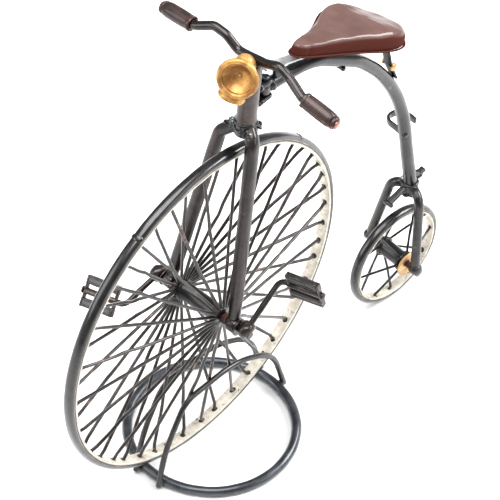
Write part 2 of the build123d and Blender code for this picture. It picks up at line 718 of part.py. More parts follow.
for side_name, side, boss_clearance, rear_shoulder in (
    ("left", 1, left_boss_clearance, left_rear_shoulder),
    ("right", -1, right_boss_clearance, right_rear_shoulder),
):
    shoulder_x, shoulder_y, shoulder_z = rear_shoulder
    arm_y = side * (rear_hub_end + boss_clearance + rear_boss_length / 2)
    arm_shoulder = from_small_axle(shoulder_x, shoulder_z) + Vector(0, side * shoulder_y, 0)
    with BuildPart() as arm:
        with BuildLine() as route:
            FilletPolyline(
                (-wheelbase, arm_y, rear_hub_z), arm_shoulder, crown_middle,
                radius=rear_shoulder_bend)
        with BuildSketch(Plane(origin=route.line @ 0, z_dir=route.line % 0)):
            Circle(rear_arm_radius)
        sweep(path=route.line)
        with BuildSketch(across(-wheelbase, rear_hub_z, arm_y)):
            Circle(rear_boss_radius)
        extrude(amount=rear_boss_length / 2, both=True)
        add(rear_axle.part, mode=Mode.SUBTRACT)
        add(rear_crown.part, mode=Mode.SUBTRACT)
        add(backbone_tube, mode=Mode.SUBTRACT)
        add(step_bar.part, mode=Mode.SUBTRACT)
    outer_arm = arm.part.solids().sort_by(lambda solid: solid.volume)[-1]
    save(outer_arm, f"{side_name}_rear_arm", on_frame=True)

    with BuildPart() as washer:
        with BuildSketch(across(-wheelbase, rear_hub_z, side * rear_hub_half_length)):
            Circle(washer_radius)
            Circle(rear_axle_radius + running_gap, mode=Mode.SUBTRACT)
        extrude(amount=side * washer_thickness)
    save(washer.part, f"{side_name}_rear_washer", on_frame=True)

# Rear wheel
rear_seat = rear_radius - rear_tyre_height
rear_rim_inner = rear_seat - rear_rim_thickness
save(tyre(-wheelbase, rear_hub_z, rear_radius, rear_tyre_width, rear_tyre_height), "rear_tyre", on_frame=True)
save(wheel_ring(-wheelbase, rear_hub_z, rim_outline(rear_seat, rear_rim_width, rear_rim_thickness,
                                                    rear_rim_seat_width, rear_rim_groove)),
     "rear_rim", on_frame=True)
save(spokes(-wheelbase, rear_hub_z, rear_spoke_count, rear_spoke_radius, rear_flange_radius + spoke_gap,
            rear_rim_inner - spoke_gap, rear_flange_y), "rear_spokes", on_frame=True)
save(wheel_ring(-wheelbase, rear_hub_z, hub_outline(rear_hub_half_length, rear_axle_radius + running_gap,
                                                    rear_hub_radius, rear_flange_y, rear_flange_thickness,
                                                    rear_flange_radius)), "rear_hub", on_frame=True)
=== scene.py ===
"""Looks of a high-wheel bicycle ornament of bent steel rod, standing with its big wheel in a ring stand.

Lengths are in millimetres from the big wheel's axle along X, the middle plane along Y and the table
along Z, as the ornament was laid out; `set_down` moves them to the frame, in metres. Colours are 0 to 255.
"""
from math import acos, cos, pi, radians, sin, sqrt, tan

import bpy
import numpy as np
from mathutils import Matrix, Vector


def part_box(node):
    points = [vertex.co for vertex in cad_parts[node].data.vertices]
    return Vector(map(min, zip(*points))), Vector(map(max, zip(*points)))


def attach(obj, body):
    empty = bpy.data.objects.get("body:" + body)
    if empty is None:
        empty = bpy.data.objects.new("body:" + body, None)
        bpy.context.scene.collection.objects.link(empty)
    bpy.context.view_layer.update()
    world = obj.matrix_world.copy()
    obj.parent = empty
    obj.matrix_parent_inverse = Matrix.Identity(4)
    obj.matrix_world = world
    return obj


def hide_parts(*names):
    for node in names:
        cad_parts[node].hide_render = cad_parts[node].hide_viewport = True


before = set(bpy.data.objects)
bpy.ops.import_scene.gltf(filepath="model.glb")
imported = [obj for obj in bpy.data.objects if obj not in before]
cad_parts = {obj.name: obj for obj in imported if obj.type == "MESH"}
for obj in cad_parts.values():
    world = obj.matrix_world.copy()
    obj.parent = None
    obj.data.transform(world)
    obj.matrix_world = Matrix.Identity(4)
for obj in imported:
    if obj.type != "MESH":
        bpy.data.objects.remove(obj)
scene = bpy.context.scene
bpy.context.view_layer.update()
axle_low, axle_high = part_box("front_axle")
ORIGIN_SHIFT = (axle_low.x + axle_high.x) * 500
NECK_X = -48.0
FRAME_TURN = radians(-4.24)

BIG_RADIUS = 110.0
BIG_Z = 118.0
SMALL_X = -162.6
SMALL_Z = 35.0
SMALL_RADIUS = 35.0
NECK_Z = 254.6
TYRE_TOP = BIG_Z + BIG_RADIUS
# The small wheel stands this far to the right of the middle plane
SMALL_WHEEL_ASIDE = 1.2
# The base body, two colour slots, the three axes and the two sides
BASE = "fork_and_stand"
STEEL = "charcoal_metal"
BROWN = "brown_metal"
X_WAY, Y_WAY, Z_WAY = (1, 0, 0), (0, 1, 0), (0, 0, 1)
SIDES = (("left", 1), ("right", -1))


# Shapes
def unit(ways):
    """Ways of length one: each divided by its own length."""
    ways = np.asarray(ways, float)
    return ways / np.linalg.norm(ways, axis=-1, keepdims=True)


def evenly_round(count):
    """Angles at even steps round a full turn."""
    return np.linspace(0, 2 * np.pi, count, endpoint=False)


def ripple(points, size, seed, waves=12):
    """Smooth height of about -1 to 1: a sum of sine waves about `size` long, in seeded ways."""
    rng = np.random.default_rng(seed)
    ways = unit(rng.normal(size=(waves, 3))) * (2 * np.pi / size) * rng.uniform(0.6, 1.7, (waves, 1))
    starts = rng.uniform(0, 2 * np.pi, waves)
    return np.sin(points @ ways.T + starts).sum(-1) / sqrt(waves)


def rounded_path(corners, bends):
    """Straight runs joined by arcs: each corner is cut back by bend / tan(half its angle)."""
    corners = np.array(corners, float)
    runs = [corners[:1]]
    for before, corner, after, bend in zip(corners, corners[1:], corners[2:], bends):
        back, on = unit(before - corner), unit(after - corner)
        half = 0.5 * acos(float(np.clip(back @ on, -1, 1)))
        centre = corner + unit(back + on) * bend / sin(half)
        first = corner + back * bend / tan(half) - centre
        last = corner + on * bend / tan(half) - centre
        turn = pi - 2 * half
        share = np.linspace(0, 1, 17)[:, None]
        arc = np.sin((1 - share) * turn) * first + np.sin(share * turn) * last
        runs.append(centre + arc / sin(turn))
    runs.append(corners[-1:])
    return np.concatenate(runs)


def stepped(line, step, soft=0.0):
    """Points at even steps along a line, closer over its soft ends, and their distances along it."""
    lengths = np.concatenate([[0], np.cumsum(np.linalg.norm(np.diff(line, axis=0), axis=1))])
    total = lengths[-1]
    stops = np.linspace(0, total, max(3, round(total / step) + 1))
    if soft:
        near = soft * np.array([0.02, 0.1, 0.25, 0.5, 0.8])
        inner = stops[(stops > soft) & (stops < total - soft)]
        stops = np.concatenate([[0], near, inner, (total - near)[::-1], [total]])
    points = np.stack([np.interp(stops, lengths, line[:, axis]) for axis in range(3)], -1)
    return points, stops, total


def squarish(width, height, power=2.0, cols=20):
    """Section x = width / 2 * cos(t), y = height / 2 * sin(t), with sine and cosine raised to 2 / power."""
    turn = evenly_round(cols) + np.pi / cols
    across = np.sign(np.cos(turn)) * np.abs(np.cos(turn)) ** (2 / power)
    up = np.sign(np.sin(turn)) * np.abs(np.sin(turn)) ** (2 / power)
    return np.stack([across * width / 2, up * height / 2], -1)


def carried(points, section, reference):
    """Section carried along points: point + a * across + b * up, with up near the reference."""
    way = unit(np.gradient(points, axis=0))
    across = unit(np.cross(way, np.asarray(reference, float)))
    up = np.cross(across, way)
    section = np.broadcast_to(section, (len(points),) + section.shape[-2:])
    return points[:, None] + section[..., :1] * across[:, None] + section[..., 1:] * up[:, None]


def closed(grid, loop=False):
    """Closed surface over a grid whose columns run round; open ends get a middle point, a loop's meet."""
    rows, cols = grid.shape[:2]
    number = np.arange(rows * cols).reshape(rows, cols)
    here, ahead = (number, np.roll(number, -1, 0)) if loop else (number[:-1], number[1:])
    fours = np.stack([here, ahead, np.roll(ahead, -1, 1), np.roll(here, -1, 1)], -1).reshape(-1, 4)
    points, threes = grid.reshape(-1, 3), np.zeros((0, 3), int)
    if not loop:
        points = np.concatenate([points, grid[0].mean(0)[None], grid[-1].mean(0)[None]])
        first, last, pole = number[0], number[-1], rows * cols
        threes = np.concatenate([
            np.stack([np.full(cols, pole), first, np.roll(first, -1)], -1),
            np.stack([np.full(cols, pole + 1), np.roll(last, -1), last], -1)])
    a, b, c, d = (points[fours[:, corner]] for corner in range(4))
    volume = (np.cross(a, b) * c).sum() + (np.cross(a, c) * d).sum()
    if len(threes):
        volume += (np.cross(points[threes[:, 0]], points[threes[:, 1]]) * points[threes[:, 2]]).sum()
    if volume < 0:
        fours, threes = fours[:, ::-1], threes[:, ::-1]
    return points, fours, threes


def rod(corners, bends, radius, seed, step=1.6, cols=18, soft=0.5, reference=Y_WAY, power=2.0, high=1.0,
        rough=0.02, pinch=None):
    """Bent rod: a section carried along a rounded path, drawn in at its ends as the square root of
    1 - (1 - distance / soft) squared and made uneven by a ripple. `high` is its height over its width, and
    `pinch` gives the share of its size at each distance."""
    soft = soft * radius
    points, stops, total = stepped(rounded_path(corners, bends), step, soft)
    drawn = np.sqrt(np.clip(1 - (1 - np.clip(np.minimum(stops, total - stops) / soft, 0, 1)) ** 2, 0.02, 1))
    if pinch is not None:
        drawn = drawn * pinch(stops, total)
    section = squarish(2 * radius, 2 * radius * high, power, cols)
    grid = carried(points, section * drawn[:, None, None], reference)
    swell = 1 + rough * ripple(grid, 6 * radius, seed) + 0.4 * rough * ripple(grid, 2 * radius, seed + 1)
    return closed(points[:, None] + (grid - points[:, None]) * swell[..., None])


def lump(centre, radii, seed, rough=0.1, axes=(X_WAY, Y_WAY, Z_WAY), power=2.0, size=0.9):
    """Uneven ball of weld or cast metal: an ellipsoid along its axes, each point moved out by a ripple."""
    polar = np.linspace(0.06, np.pi - 0.06, 15)
    turn = evenly_round(22)
    ring = np.sin(polar) ** (2 / power)
    level = np.sign(np.cos(polar)) * np.abs(np.cos(polar)) ** (2 / power)
    ball = np.stack([ring[:, None] * np.cos(turn), ring[:, None] * np.sin(turn),
                     np.repeat(level[:, None], len(turn), 1)], -1)
    body = ball * np.asarray(radii, float)
    swell = 1 + rough * ripple(body + np.asarray(centre, float), size * 2 * max(radii), seed)
    return closed(np.asarray(centre, float) + (body * swell[..., None]) @ unit(axes))


def lumps(places, seed, rough, size=0.9):
    """Row of lumps, one for each place and its radii, with seeds that count up."""
    rows = enumerate(places)
    return [lump(place, radii, seed + number, rough, size=size) for number, (place, radii) in rows]


def turned(profile, centre, axis, seed, cols, loop, rough, size):
    """Grid of a surface of revolution: rows of (along the axis, out from it) turned round it, rippled."""
    axis = unit(axis)
    first = unit(np.cross(axis, (0.31, 0.17, 0.93)))
    second = np.cross(axis, first)
    turn = evenly_round(cols)[:, None]
    out = first * np.cos(turn) + second * np.sin(turn)
    profile = np.asarray(profile, float)
    grid = np.asarray(centre, float) + profile[:, None, :1] * axis + profile[:, None, 1:] * out
    middle = grid.mean(0) if loop else np.asarray(centre, float) + profile[:, None, :1] * axis
    return middle + (grid - middle) * (1 + rough * ripple(grid, size, seed))[..., None]


def spun(profile, centre, axis, seed, cols, rough, size, loop=False):
    """Closed surface of revolution; with `loop` its outline is a ring of its own, as for a sleeve."""
    return closed(turned(profile, centre, axis, seed, cols, loop, rough, size), loop)


def softened(corners, cut, loop=False):
    """Outline with each corner replaced by three points of a small curve that starts `cut` away from it."""
    corners = np.asarray(corners, float)
    soft = [] if loop else [corners[:1]]
    for number in range(len(corners)) if loop else range(1, len(corners) - 1):
        corner = corners[number]
        back, on = corners[number - 1] - corner, corners[(number + 1) % len(corners)] - corner
        start = corner + back * min(0.45, cut / np.linalg.norm(back))
        end = corner + on * min(0.45, cut / np.linalg.norm(on))
        soft.append(np.stack([start, 0.25 * start + 0.5 * corner + 0.25 * end, end]))
    if not loop:
        soft.append(corners[-1:])
    return np.concatenate(soft)


def set_down(points, on_frame):
    """Millimetres to the frame's metres; what is on the bicycle's frame is first turned about the neck."""
    points = points.copy()
    if on_frame:
        x, y = points[:, 0] - NECK_X, points[:, 1].copy()
        points[:, 0] = NECK_X + x * cos(FRAME_TURN) - y * sin(FRAME_TURN)
        points[:, 1] = x * sin(FRAME_TURN) + y * cos(FRAME_TURN)
    points[:, 0] += ORIGIN_SHIFT
    return points / 1000


def placed(name, data):
    """New object in the scene."""
    thing = bpy.data.objects.new(name, data)
    scene.collection.objects.link(thing)
    return thing


def piece(name, shells, finish, body, slot, nodes=(), on_frame=False, crease=38, marks=None):
    """One piece from closed surfaces, on its body, with its finish and the CAD nodes it stands for."""
    counts = np.cumsum([0] + [len(shell[0]) for shell in shells])
    points = np.concatenate([shell[0] for shell in shells])
    points = set_down(points - (0, SMALL_WHEEL_ASIDE if body == "rear_wheel" else 0, 0), on_frame)
    fours = np.concatenate([shell[1] + start for shell, start in zip(shells, counts)])
    threes = np.concatenate([shell[2] + start for shell, start in zip(shells, counts)])
    mesh = bpy.data.meshes.new(name)
    mesh.vertices.add(len(points))
    mesh.vertices.foreach_set("co", points.ravel())
    mesh.loops.add(fours.size + threes.size)
    mesh.loops.foreach_set("vertex_index", np.concatenate([fours.ravel(), threes.ravel()]))
    mesh.polygons.add(len(fours) + len(threes))
    starts = np.concatenate([np.arange(len(fours)) * 4, fours.size + np.arange(len(threes)) * 3])
    mesh.polygons.foreach_set("loop_start", starts)
    mesh.update(calc_edges=True)
    mesh.validate()
    mesh.shade_smooth()
    mesh.set_sharp_from_angle(angle=radians(crease))
    if marks is not None:
        attribute = mesh.attributes.new("mark", "FLOAT", "POINT")
        attribute.data.foreach_set("value", np.concatenate(marks).astype(np.float32))
    mesh.materials.append(finish)
    thing = placed(name, mesh)
    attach(thing, body)
    if nodes:
        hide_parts(*nodes)
    return thing


# Finishes
def tone(red, green, blue):
    """Colour as the eye names it, 0 to 255, made linear for the shader."""
    share = np.array([red, green, blue]) / 255
    linear = np.where(share <= 0.04045, share / 12.92, ((share + 0.055) / 1.055) ** 2.4)
    return (*linear.tolist(), 1.0)


class Wire:
    """A shader socket on which + - and * add Math nodes."""

    def __init__(self, finish, socket):
        self.finish = finish
        self.socket = socket

    def join(self, operation, first, second):
        return self.finish.node("ShaderNodeMath", {"operation": operation}, {0: first, 1: second})

    def __add__(self, other):
        return self.join("ADD", self, other)

    def __sub__(self, other):
        return self.join("SUBTRACT", self, other)

    def __rsub__(self, other):
        return self.join("SUBTRACT", other, self)

    def __mul__(self, other):
        return self.join("MULTIPLY", self, other)

    __radd__ = __add__
    __rmul__ = __mul__

    def over(self, low, high):
        """0 below `low`, 1 above `high` and a smooth step between."""
        return self.finish.node("ShaderNodeMapRange", {"interpolation_type": "SMOOTHSTEP"},
                                {"Value": self, "From Min": low, "From Max": high})


class Finish:
    """One material: its node tree, its Principled shader and what feeds it."""

    def __init__(self, name):
        self.material = bpy.data.materials.new(name)
        self.material.use_nodes = True
        self.tree = self.material.node_tree
        self.tree.nodes.clear()
        self.shader = self.tree.nodes.new("ShaderNodeBsdfPrincipled")
        output = self.tree.nodes.new("ShaderNodeOutputMaterial")
        self.tree.links.new(self.shader.outputs[0], output.inputs["Surface"])
        place = self.node("ShaderNodeTexCoord", {}, {}, "Object")
        self.place = self.node("ShaderNodeVectorMath", {"operation": "SCALE"}, {0: place, "Scale": 1000.0})

    def node(self, kind, settings, sockets, output=0):
        made = self.tree.nodes.new(kind)
        for setting, value in settings.items():
            setattr(made, setting, value)
        for key, value in sockets.items():
            self.feed(made.inputs[key], value)
        return Wire(self, made.outputs[output])

    def feed(self, socket, value):
        if isinstance(value, Wire):
            self.tree.links.new(value.socket, socket)
        else:
            socket.default_value = value

    def noise(self, size, detail=3.0, rough=0.55, stretch=None, warp=0.0):
        """Clouds about `size` mm across, stretched along X, Y and Z by `stretch`."""
        place = self.place
        if stretch is not None:
            place = self.node("ShaderNodeVectorMath", {"operation": "DIVIDE"}, {0: place, 1: stretch})
        return self.node("ShaderNodeTexNoise", {}, {"Vector": place, "Scale": 1 / size, "Detail": detail,
                                                    "Roughness": rough, "Distortion": warp})

    def blend(self, share, first, second):
        return self.node("ShaderNodeMix", {"data_type": "RGBA"}, {0: share, 6: first, 7: second}, 2)

    def mark(self):
        return self.node("ShaderNodeAttribute", {"attribute_name": "mark"}, {}, "Fac")

    def bump(self, height, depth):
        """Surface relief: `height` of 0 to 1 stands `depth` mm."""
        return self.node("ShaderNodeBump", {}, {"Height": height, "Distance": depth / 1000, "Strength": 1.0})

    def wear(self, colour, rough, metallic, normal=None, **constant):
        self.feed(self.shader.inputs["Base Color"], colour)
        self.feed(self.shader.inputs["Roughness"], rough)
        self.feed(self.shader.inputs["Metallic"], metallic)
        if normal is not None:
            self.feed(self.shader.inputs["Normal"], normal)
        for name, value in constant.items():
            self.shader.inputs[name.replace("_", " ")].default_value = value
        return self.material


def worn_metal(name, deep, face, rub, rub_share=0.35, rub_size=11.0, marked=(20, 18, 17), shine=0.36,
               metallic=0.75, relief=0.08, grain=0.3, gloss=0.5):
    """Hand-forged metal under a rubbed patina and a clear gloss: two cloudy tones, a third on rubbed patches
    and flecks, darker pits and marked spots."""
    finish = Finish(name)
    clouds = finish.noise(9.0, 4.0, 0.58)
    fine = finish.noise(0.9, 3.0, 0.6)
    drawn = finish.noise(1.7, 4.0, 0.6, None, 0.4)
    patches = finish.noise(rub_size, 4.0, 0.62, None, 0.6)
    rubbed = patches.over(0.70 - 0.3 * rub_share, 0.80 - 0.25 * rub_share)
    flecks = drawn.over(0.60, 0.72)
    colour = finish.blend(clouds.over(0.36, 0.64), tone(*deep), tone(*face))
    colour = finish.blend(rubbed * (0.35 + 0.65 * fine.over(0.35, 0.6)), colour, tone(*rub))
    colour = finish.blend(flecks * 0.35, colour, tone(*rub))
    pits = (1 - fine.over(0.28, 0.42)) * grain
    colour = finish.blend(pits, colour, tone(*(0.55 * np.array(deep))))
    colour = finish.blend(finish.mark().over(0.2, 0.9), colour, tone(*marked))
    rough = shine + 0.16 * fine - 0.08 * rubbed + 0.08 * clouds
    height = 0.45 * fine + 0.35 * drawn + 0.6 * clouds
    return finish.wear(colour, rough, metallic, finish.bump(height, relief), Coat_Weight=gloss,
                       Coat_Roughness=0.16)


def silvered_rim(name):
    """Cream-silver hoop, mottled, with grey scuffs along it and dark where it is marked."""
    finish = Finish(name)
    clouds = finish.noise(6.0, 5.0, 0.65)
    fine = finish.noise(0.8, 4.0, 0.65)
    stains = finish.noise(3.2, 5.0, 0.7, None, 1.2)
    chips = finish.noise(2.0, 3.0, 0.6, None, 0.8)
    colour = finish.blend(clouds.over(0.35, 0.65), tone(196, 188, 174), tone(226, 219, 206))
    colour = finish.blend(stains.over(0.56, 0.68) * 0.75, colour, tone(150, 138, 122))
    colour = finish.blend((1 - fine.over(0.30, 0.42)) * 0.45, colour, tone(120, 112, 104))
    colour = finish.blend(chips.over(0.66, 0.70) * 0.85, colour, tone(58, 50, 45))
    # The marked tone is black paint on the hoop's sides and painted shade on its seat under the tyre.
    colour = finish.blend(finish.mark().over(0.2, 0.9), colour, tone(22, 20, 19))
    rough = 0.38 + 0.25 * fine
    return finish.wear(colour, rough, 0.35, finish.bump(0.5 * fine + 0.5 * stains, 0.12))


def old_leather(name):
    """Hide under a gloss: a paler, greyer brown on top as painted sheen, darker and redder down the marked
    walls as painted shade, with fine pores and soft creases.
    """
    finish = Finish(name)
    clouds = finish.noise(22.0, 3.0, 0.5)
    creases = finish.noise(4.0, 4.0, 0.55, (1.6, 0.8, 1.0), 0.8)
    pores = finish.node("ShaderNodeTexVoronoi", {}, {"Vector": finish.place, "Scale": 1.6}, "Distance")
    colour = finish.blend(clouds.over(0.3, 0.7), tone(80, 56, 52), tone(93, 70, 65))
    # The walls are coloured darker and redder than the top: painted shade on the walls, painted sheen on the
    # top.
    colour = finish.blend(finish.mark().over(0.0, 0.55), colour, tone(70, 35, 29))
    height = 0.4 * creases + 0.16 * pores
    rough = 0.42 + 0.10 * clouds
    leather = finish.wear(colour, rough, 0.0, finish.bump(height, 0.05), Specular_IOR_Level=0.0,
                          Coat_Roughness=0.19)
    finish.feed(finish.shader.inputs["Coat Weight"], 0.78 - 0.74 * finish.mark().over(0.0, 0.7))
    return leather


CHARCOAL = worn_metal(
    "charcoal_rod", (18, 18, 20), (34, 35, 37), (74, 67, 63), 0.18, marked=(18, 17, 17), shine=0.27)
TYRE_GREY = worn_metal(
    "satin_tyre", (22, 21, 22), (38, 37, 38), (84, 78, 74), 0.14, relief=0.05, shine=0.24, gloss=0.8)
BROWNED = worn_metal("browned_rod", (31, 26, 25), (50, 42, 40), (100, 76, 67), 0.22, shine=0.28)
FORK_GREY = worn_metal(
    "greyed_fork", (27, 26, 26), (45, 43, 42), (86, 77, 71), 0.22, 9.0, shine=0.27, relief=0.06)
BACKBONE_GREY = worn_metal(
    "greyed_tube", (22, 23, 23), (36, 37, 37), (102, 82, 72), 0.16, 14.0, shine=0.28, relief=0.05,
    grain=0.15)
BLUED_BAR = worn_metal(
    "blued_bar", (24, 20, 21), (40, 34, 34), (84, 55, 47), 0.24, 9.0, marked=(146, 88, 74), shine=0.24,
    relief=0.04)
TUBE_BROWN = worn_metal(
    "browned_tube", (48, 38, 34), (70, 57, 51), (104, 80, 68), 0.25, 8.0, metallic=0.6, relief=0.05)
GRIP_RED = worn_metal(
    "rubbed_grip", (34, 21, 19), (52, 32, 28), (136, 74, 54), 0.3, 8.0, relief=0.10, metallic=0.4,
    gloss=0.3)
SPOKE_COPPER = worn_metal(
    "coppered_wire", (22, 18, 17), (44, 35, 33), (126, 92, 78), 0.34, 7.0, metallic=0.6, shine=0.22)
# Its marked tone is painted shade, used in the lamp dish's grooves.
GOLD = worn_metal(
    "antique_gold", (140, 96, 46), (208, 158, 88), (228, 188, 120), 0.4, 6.0, marked=(84, 50, 20),
    shine=0.40, metallic=0.7, relief=0.12, grain=0.35, gloss=0.25)
BRASS = worn_metal("worn_brass", (150, 110, 62), (206, 164, 104), (226, 194, 140), 0.4, 5.0, metallic=0.6)
COPPER = worn_metal("worn_copper", (40, 27, 24), (80, 52, 43), (172, 118, 96), 0.32, 5.0, metallic=0.7)
PLATE_BROWN = worn_metal(
    "rubbed_plate", (34, 28, 28), (62, 51, 49), (176, 140, 130), 0.3, 4.0, metallic=0.7, shine=0.26)
RED_COPPER = worn_metal("red_copper", (52, 32, 28), (88, 55, 46), (150, 98, 80), 0.3, 4.0, metallic=0.6)
HOOP_GREY = worn_metal(
    "greyed_hoop", (40, 43, 48), (62, 66, 72), (92, 92, 94), 0.16, 10.0, shine=0.26, metallic=0.6,
    relief=0.05)
DARK_TREAD = worn_metal(
    "dark_tread", (24, 21, 23), (42, 38, 40), (120, 96, 90), 0.16, 6.0, metallic=0.4, shine=0.26)
SPRING = worn_metal(
    "spring_strip", (150, 152, 154), (204, 206, 208), (226, 226, 224), 0.5, 7.0, marked=(8, 8, 9),
    metallic=0.55, shine=0.42, gloss=0.05)
# Bright silver for small weld lumps: a painted highlight standing in for glints on the dark welds.
GLINT_SILVER = worn_metal(
    "painted_glint_weld", (110, 116, 122), (176, 184, 190), (232, 236, 240), 0.5, 4.0, metallic=0.9, shine=0.14)
RIM = silvered_rim("silvered_rim")
LEATHER = old_leather("leather_painted_sheen_and_shade")


# Wheels
class Wheel:
    """One wheel: its place and measures, its body, and how its pieces and its CAD nodes are named."""

    def __init__(self, name, end, middle, radius, width, body, on_frame):
        self.name = name
        self.end = end
        self.middle = np.array(middle)
        self.radius = radius
        self.width = width
        self.body = body
        self.on_frame = on_frame

    def point(self, radius, degrees, y=0.0):
        """Point at a radius and an angle from straight ahead."""
        turn = radians(degrees)
        return self.middle + np.array([radius * cos(turn), y, radius * sin(turn)])

    def spun(self, section, seed, cols, rough, size):
        """Ring section turned about this wheel's axle."""
        return spun(section, self.middle, Y_WAY, seed, cols, rough, size, True)

    def piece(self, name, shells, finish, slot, nodes, **rest):
        piece(f"{self.name}_{name}", shells, finish, self.body, slot, nodes, self.on_frame, **rest)


BIG = Wheel("big", "front", (0, 0, BIG_Z), BIG_RADIUS, 7.0, "front_wheel", False)
SMALL = Wheel("small", "rear", (SMALL_X, 0, SMALL_Z), SMALL_RADIUS, 6.0, "rear_wheel", True)


def tyre_band(wheel, height, seed, joints):
    """Rounded band: across = width / 2 * cos(t), out = seat + height * sin(t), both flattened, turned about
    the axle and wavering by a ripple; a weld lump lies across it at each joint."""
    turn = np.linspace(0, np.pi, 17)
    seat = wheel.radius - height
    arch = np.stack([wheel.width / 2 * np.sign(np.cos(turn)) * np.abs(np.cos(turn)) ** 0.85,
                     seat + height * np.sin(turn) ** 0.8], -1)
    shells = [wheel.spun(arch, seed, 240, 0.018, 14.0)]
    for number, degrees in enumerate(joints):
        centre = wheel.point(wheel.radius - 1.4, degrees)
        out = unit(centre - wheel.middle)
        axes = (out, Y_WAY, np.cross(out, Y_WAY))
        shells.append(lump(centre, (1.62, 0.49 * wheel.width, 2.3), seed + 3 + number, 0.07, axes, 2.6))
    wheel.piece("tyre_band", shells, TYRE_GREY, "tyre_metal", [f"{wheel.end}_tyre"])


def rim_hoop(wheel, seat, thickness, seat_width, groove, seed):
    """Flat hoop from its softened section turned about the axle, dark on its sides as black paint and on its
    seat as painted shade of the gap under the tyre.
    """
    inner, side = seat - thickness, wheel.width / 2
    section = softened([
        (-side, inner), (side, inner), (side, seat - groove), (seat_width / 2, seat - groove),
        (seat_width / 2, seat), (-seat_width / 2, seat), (-seat_width / 2, seat - groove),
        (-side, seat - groove)], 0.3, True)
    # The seat under the tyre is marked dark as painted shade in the gap; the sides are marked dark as black
    # paint.
    black_sides_and_gap_shade = (section[:, 1] > seat - 0.3 * groove) | (np.abs(section[:, 0]) > side - 0.05)
    dark = np.repeat(black_sides_and_gap_shade & (section[:, 1] > inner + 0.5), 240).astype(float)
    wheel.piece("rim_hoop", [wheel.spun(section, seed, 240, 0.02, 12.0)], RIM, "rim_metal",
                [f"{wheel.end}_rim"], marks=[dark])


def spoke_wires(wheel, count, wire, inner, outer, flange_y, seed, finish, sway=0.55, kinks=0.8):
    """Hand-bent wires from the flanges to the rim: a straight line plus sway * sin(pi * share) and one small
    kink, the wire's section carried along it; the rim end turns over into a short hook."""
    rng = np.random.default_rng(seed)
    shells, feet = [], []
    share = np.linspace(0, 1, 22)
    for number in range(count):
        degrees = 360 / count * number
        side = flange_y if number % 2 == 0 else -flange_y
        foot = wheel.point(inner, degrees, side)
        tip = wheel.point(outer, degrees)
        length = np.linalg.norm(tip - foot)
        along = unit(np.cross(unit(tip - foot), Y_WAY))
        over = np.cross(along, unit(tip - foot))
        bow, lean = rng.normal(0, sway), rng.normal(0, 0.3 * sway)
        kink, spot = rng.normal(0, kinks), rng.uniform(0.25, 0.8)
        sideways = bow * np.sin(np.pi * share) + kink * np.clip(1 - np.abs(share - spot) * length / 9, 0, 1)
        hook = np.clip((share - 0.955) / 0.045, 0, 1) ** 2 * rng.choice([-1.0, 1.0]) * 1.4
        line = foot + share[:, None] * (tip - foot) + (sideways + hook)[:, None] * along
        line += (lean * np.sin(np.pi * share) * np.sign(side))[:, None] * over
        swell = 1 + 0.06 * ripple(line, 9.0, seed + number)
        section = squarish(2 * wire, 2 * wire, 2.0, 8) * swell[:, None, None]
        shells.append(closed(carried(line, section, Y_WAY)))
        feet.append(line[-1])
    wheel.piece("wheel_wires", shells, finish, "spoke_metal", [f"{wheel.end}_spokes"], crease=60)
    return feet


def rim_beads(wheel, feet, seat, seed, size):
    """Small uneven dark beads where the wires meet the hoop's inner face: the wire ends, dark also as painted
    shade of the spoke holes.
    """
    rng = np.random.default_rng(seed)
    shells = []
    for number, foot in enumerate(feet):
        out = unit(foot - wheel.middle)
        centre = wheel.middle + out * (seat + 0.1) + np.array([0, rng.normal(0, 0.25), 0])
        axes = (out, Y_WAY, np.cross(out, Y_WAY))
        radii = size * np.array([0.55, rng.uniform(0.9, 1.25), rng.uniform(0.9, 1.5)])
        shells.append(lump(centre, radii, seed + number, 0.12, axes, 2.3))
    wheel.piece("rim_beads", shells, CHARCOAL, STEEL, ())


def wheel_hub(wheel, half_length, bore, barrel, flange_y, flange_thick, flange_radius, seed):
    """Barrel with a flange near each end from its softened lengthwise section, turned about the axle."""
    flange_in, flange_out = flange_y - flange_thick / 2, flange_y + flange_thick / 2
    section = softened([
        (-half_length, bore), (half_length, bore), (half_length, barrel), (flange_out, barrel),
        (flange_out, flange_radius), (flange_in, flange_radius), (flange_in, barrel), (-flange_in, barrel),
        (-flange_in, flange_radius), (-flange_out, flange_radius), (-flange_out, barrel),
        (-half_length, barrel)], 0.7, True)
    wheel.piece("wheel_hub", [wheel.spun(section, seed, 64, 0.03, 6.0)], CHARCOAL, STEEL,
                [f"{wheel.end}_hub"])


def small_hub_washer(hand, side, rim_radius, finish):
    """Dished washer against the end of the small hub."""
    section = softened([
        (side * 10.6, 2.2), (side * 11.2, 2.2), (side * 11.3, 3.6), (side * 11.8, 4.2),
        (side * 12.5, rim_radius - 0.5), (side * 11.8, rim_radius), (side * 10.8, rim_radius - 0.5)],
        0.4, True)
    SMALL.piece(f"hub_washer_{hand}", [SMALL.spun(section, 53, 48, 0.02, 4.0)], finish, "worn_brass",
                [f"{hand}_rear_washer"])


tyre_band(BIG, 3.0, 11, (61, 136))
rim_hoop(BIG, 107.4, 2.8, 4.6, 0.4, 21)
big_feet = spoke_wires(BIG, 48, 1.02, 6.6, 104.9, 15.0, 31, SPOKE_COPPER)
rim_beads(BIG, big_feet, 104.7, 41, 1.55)
wheel_hub(BIG, 16.5, 2.2, 5.4, 15.0, 2.6, 7.0, 51)

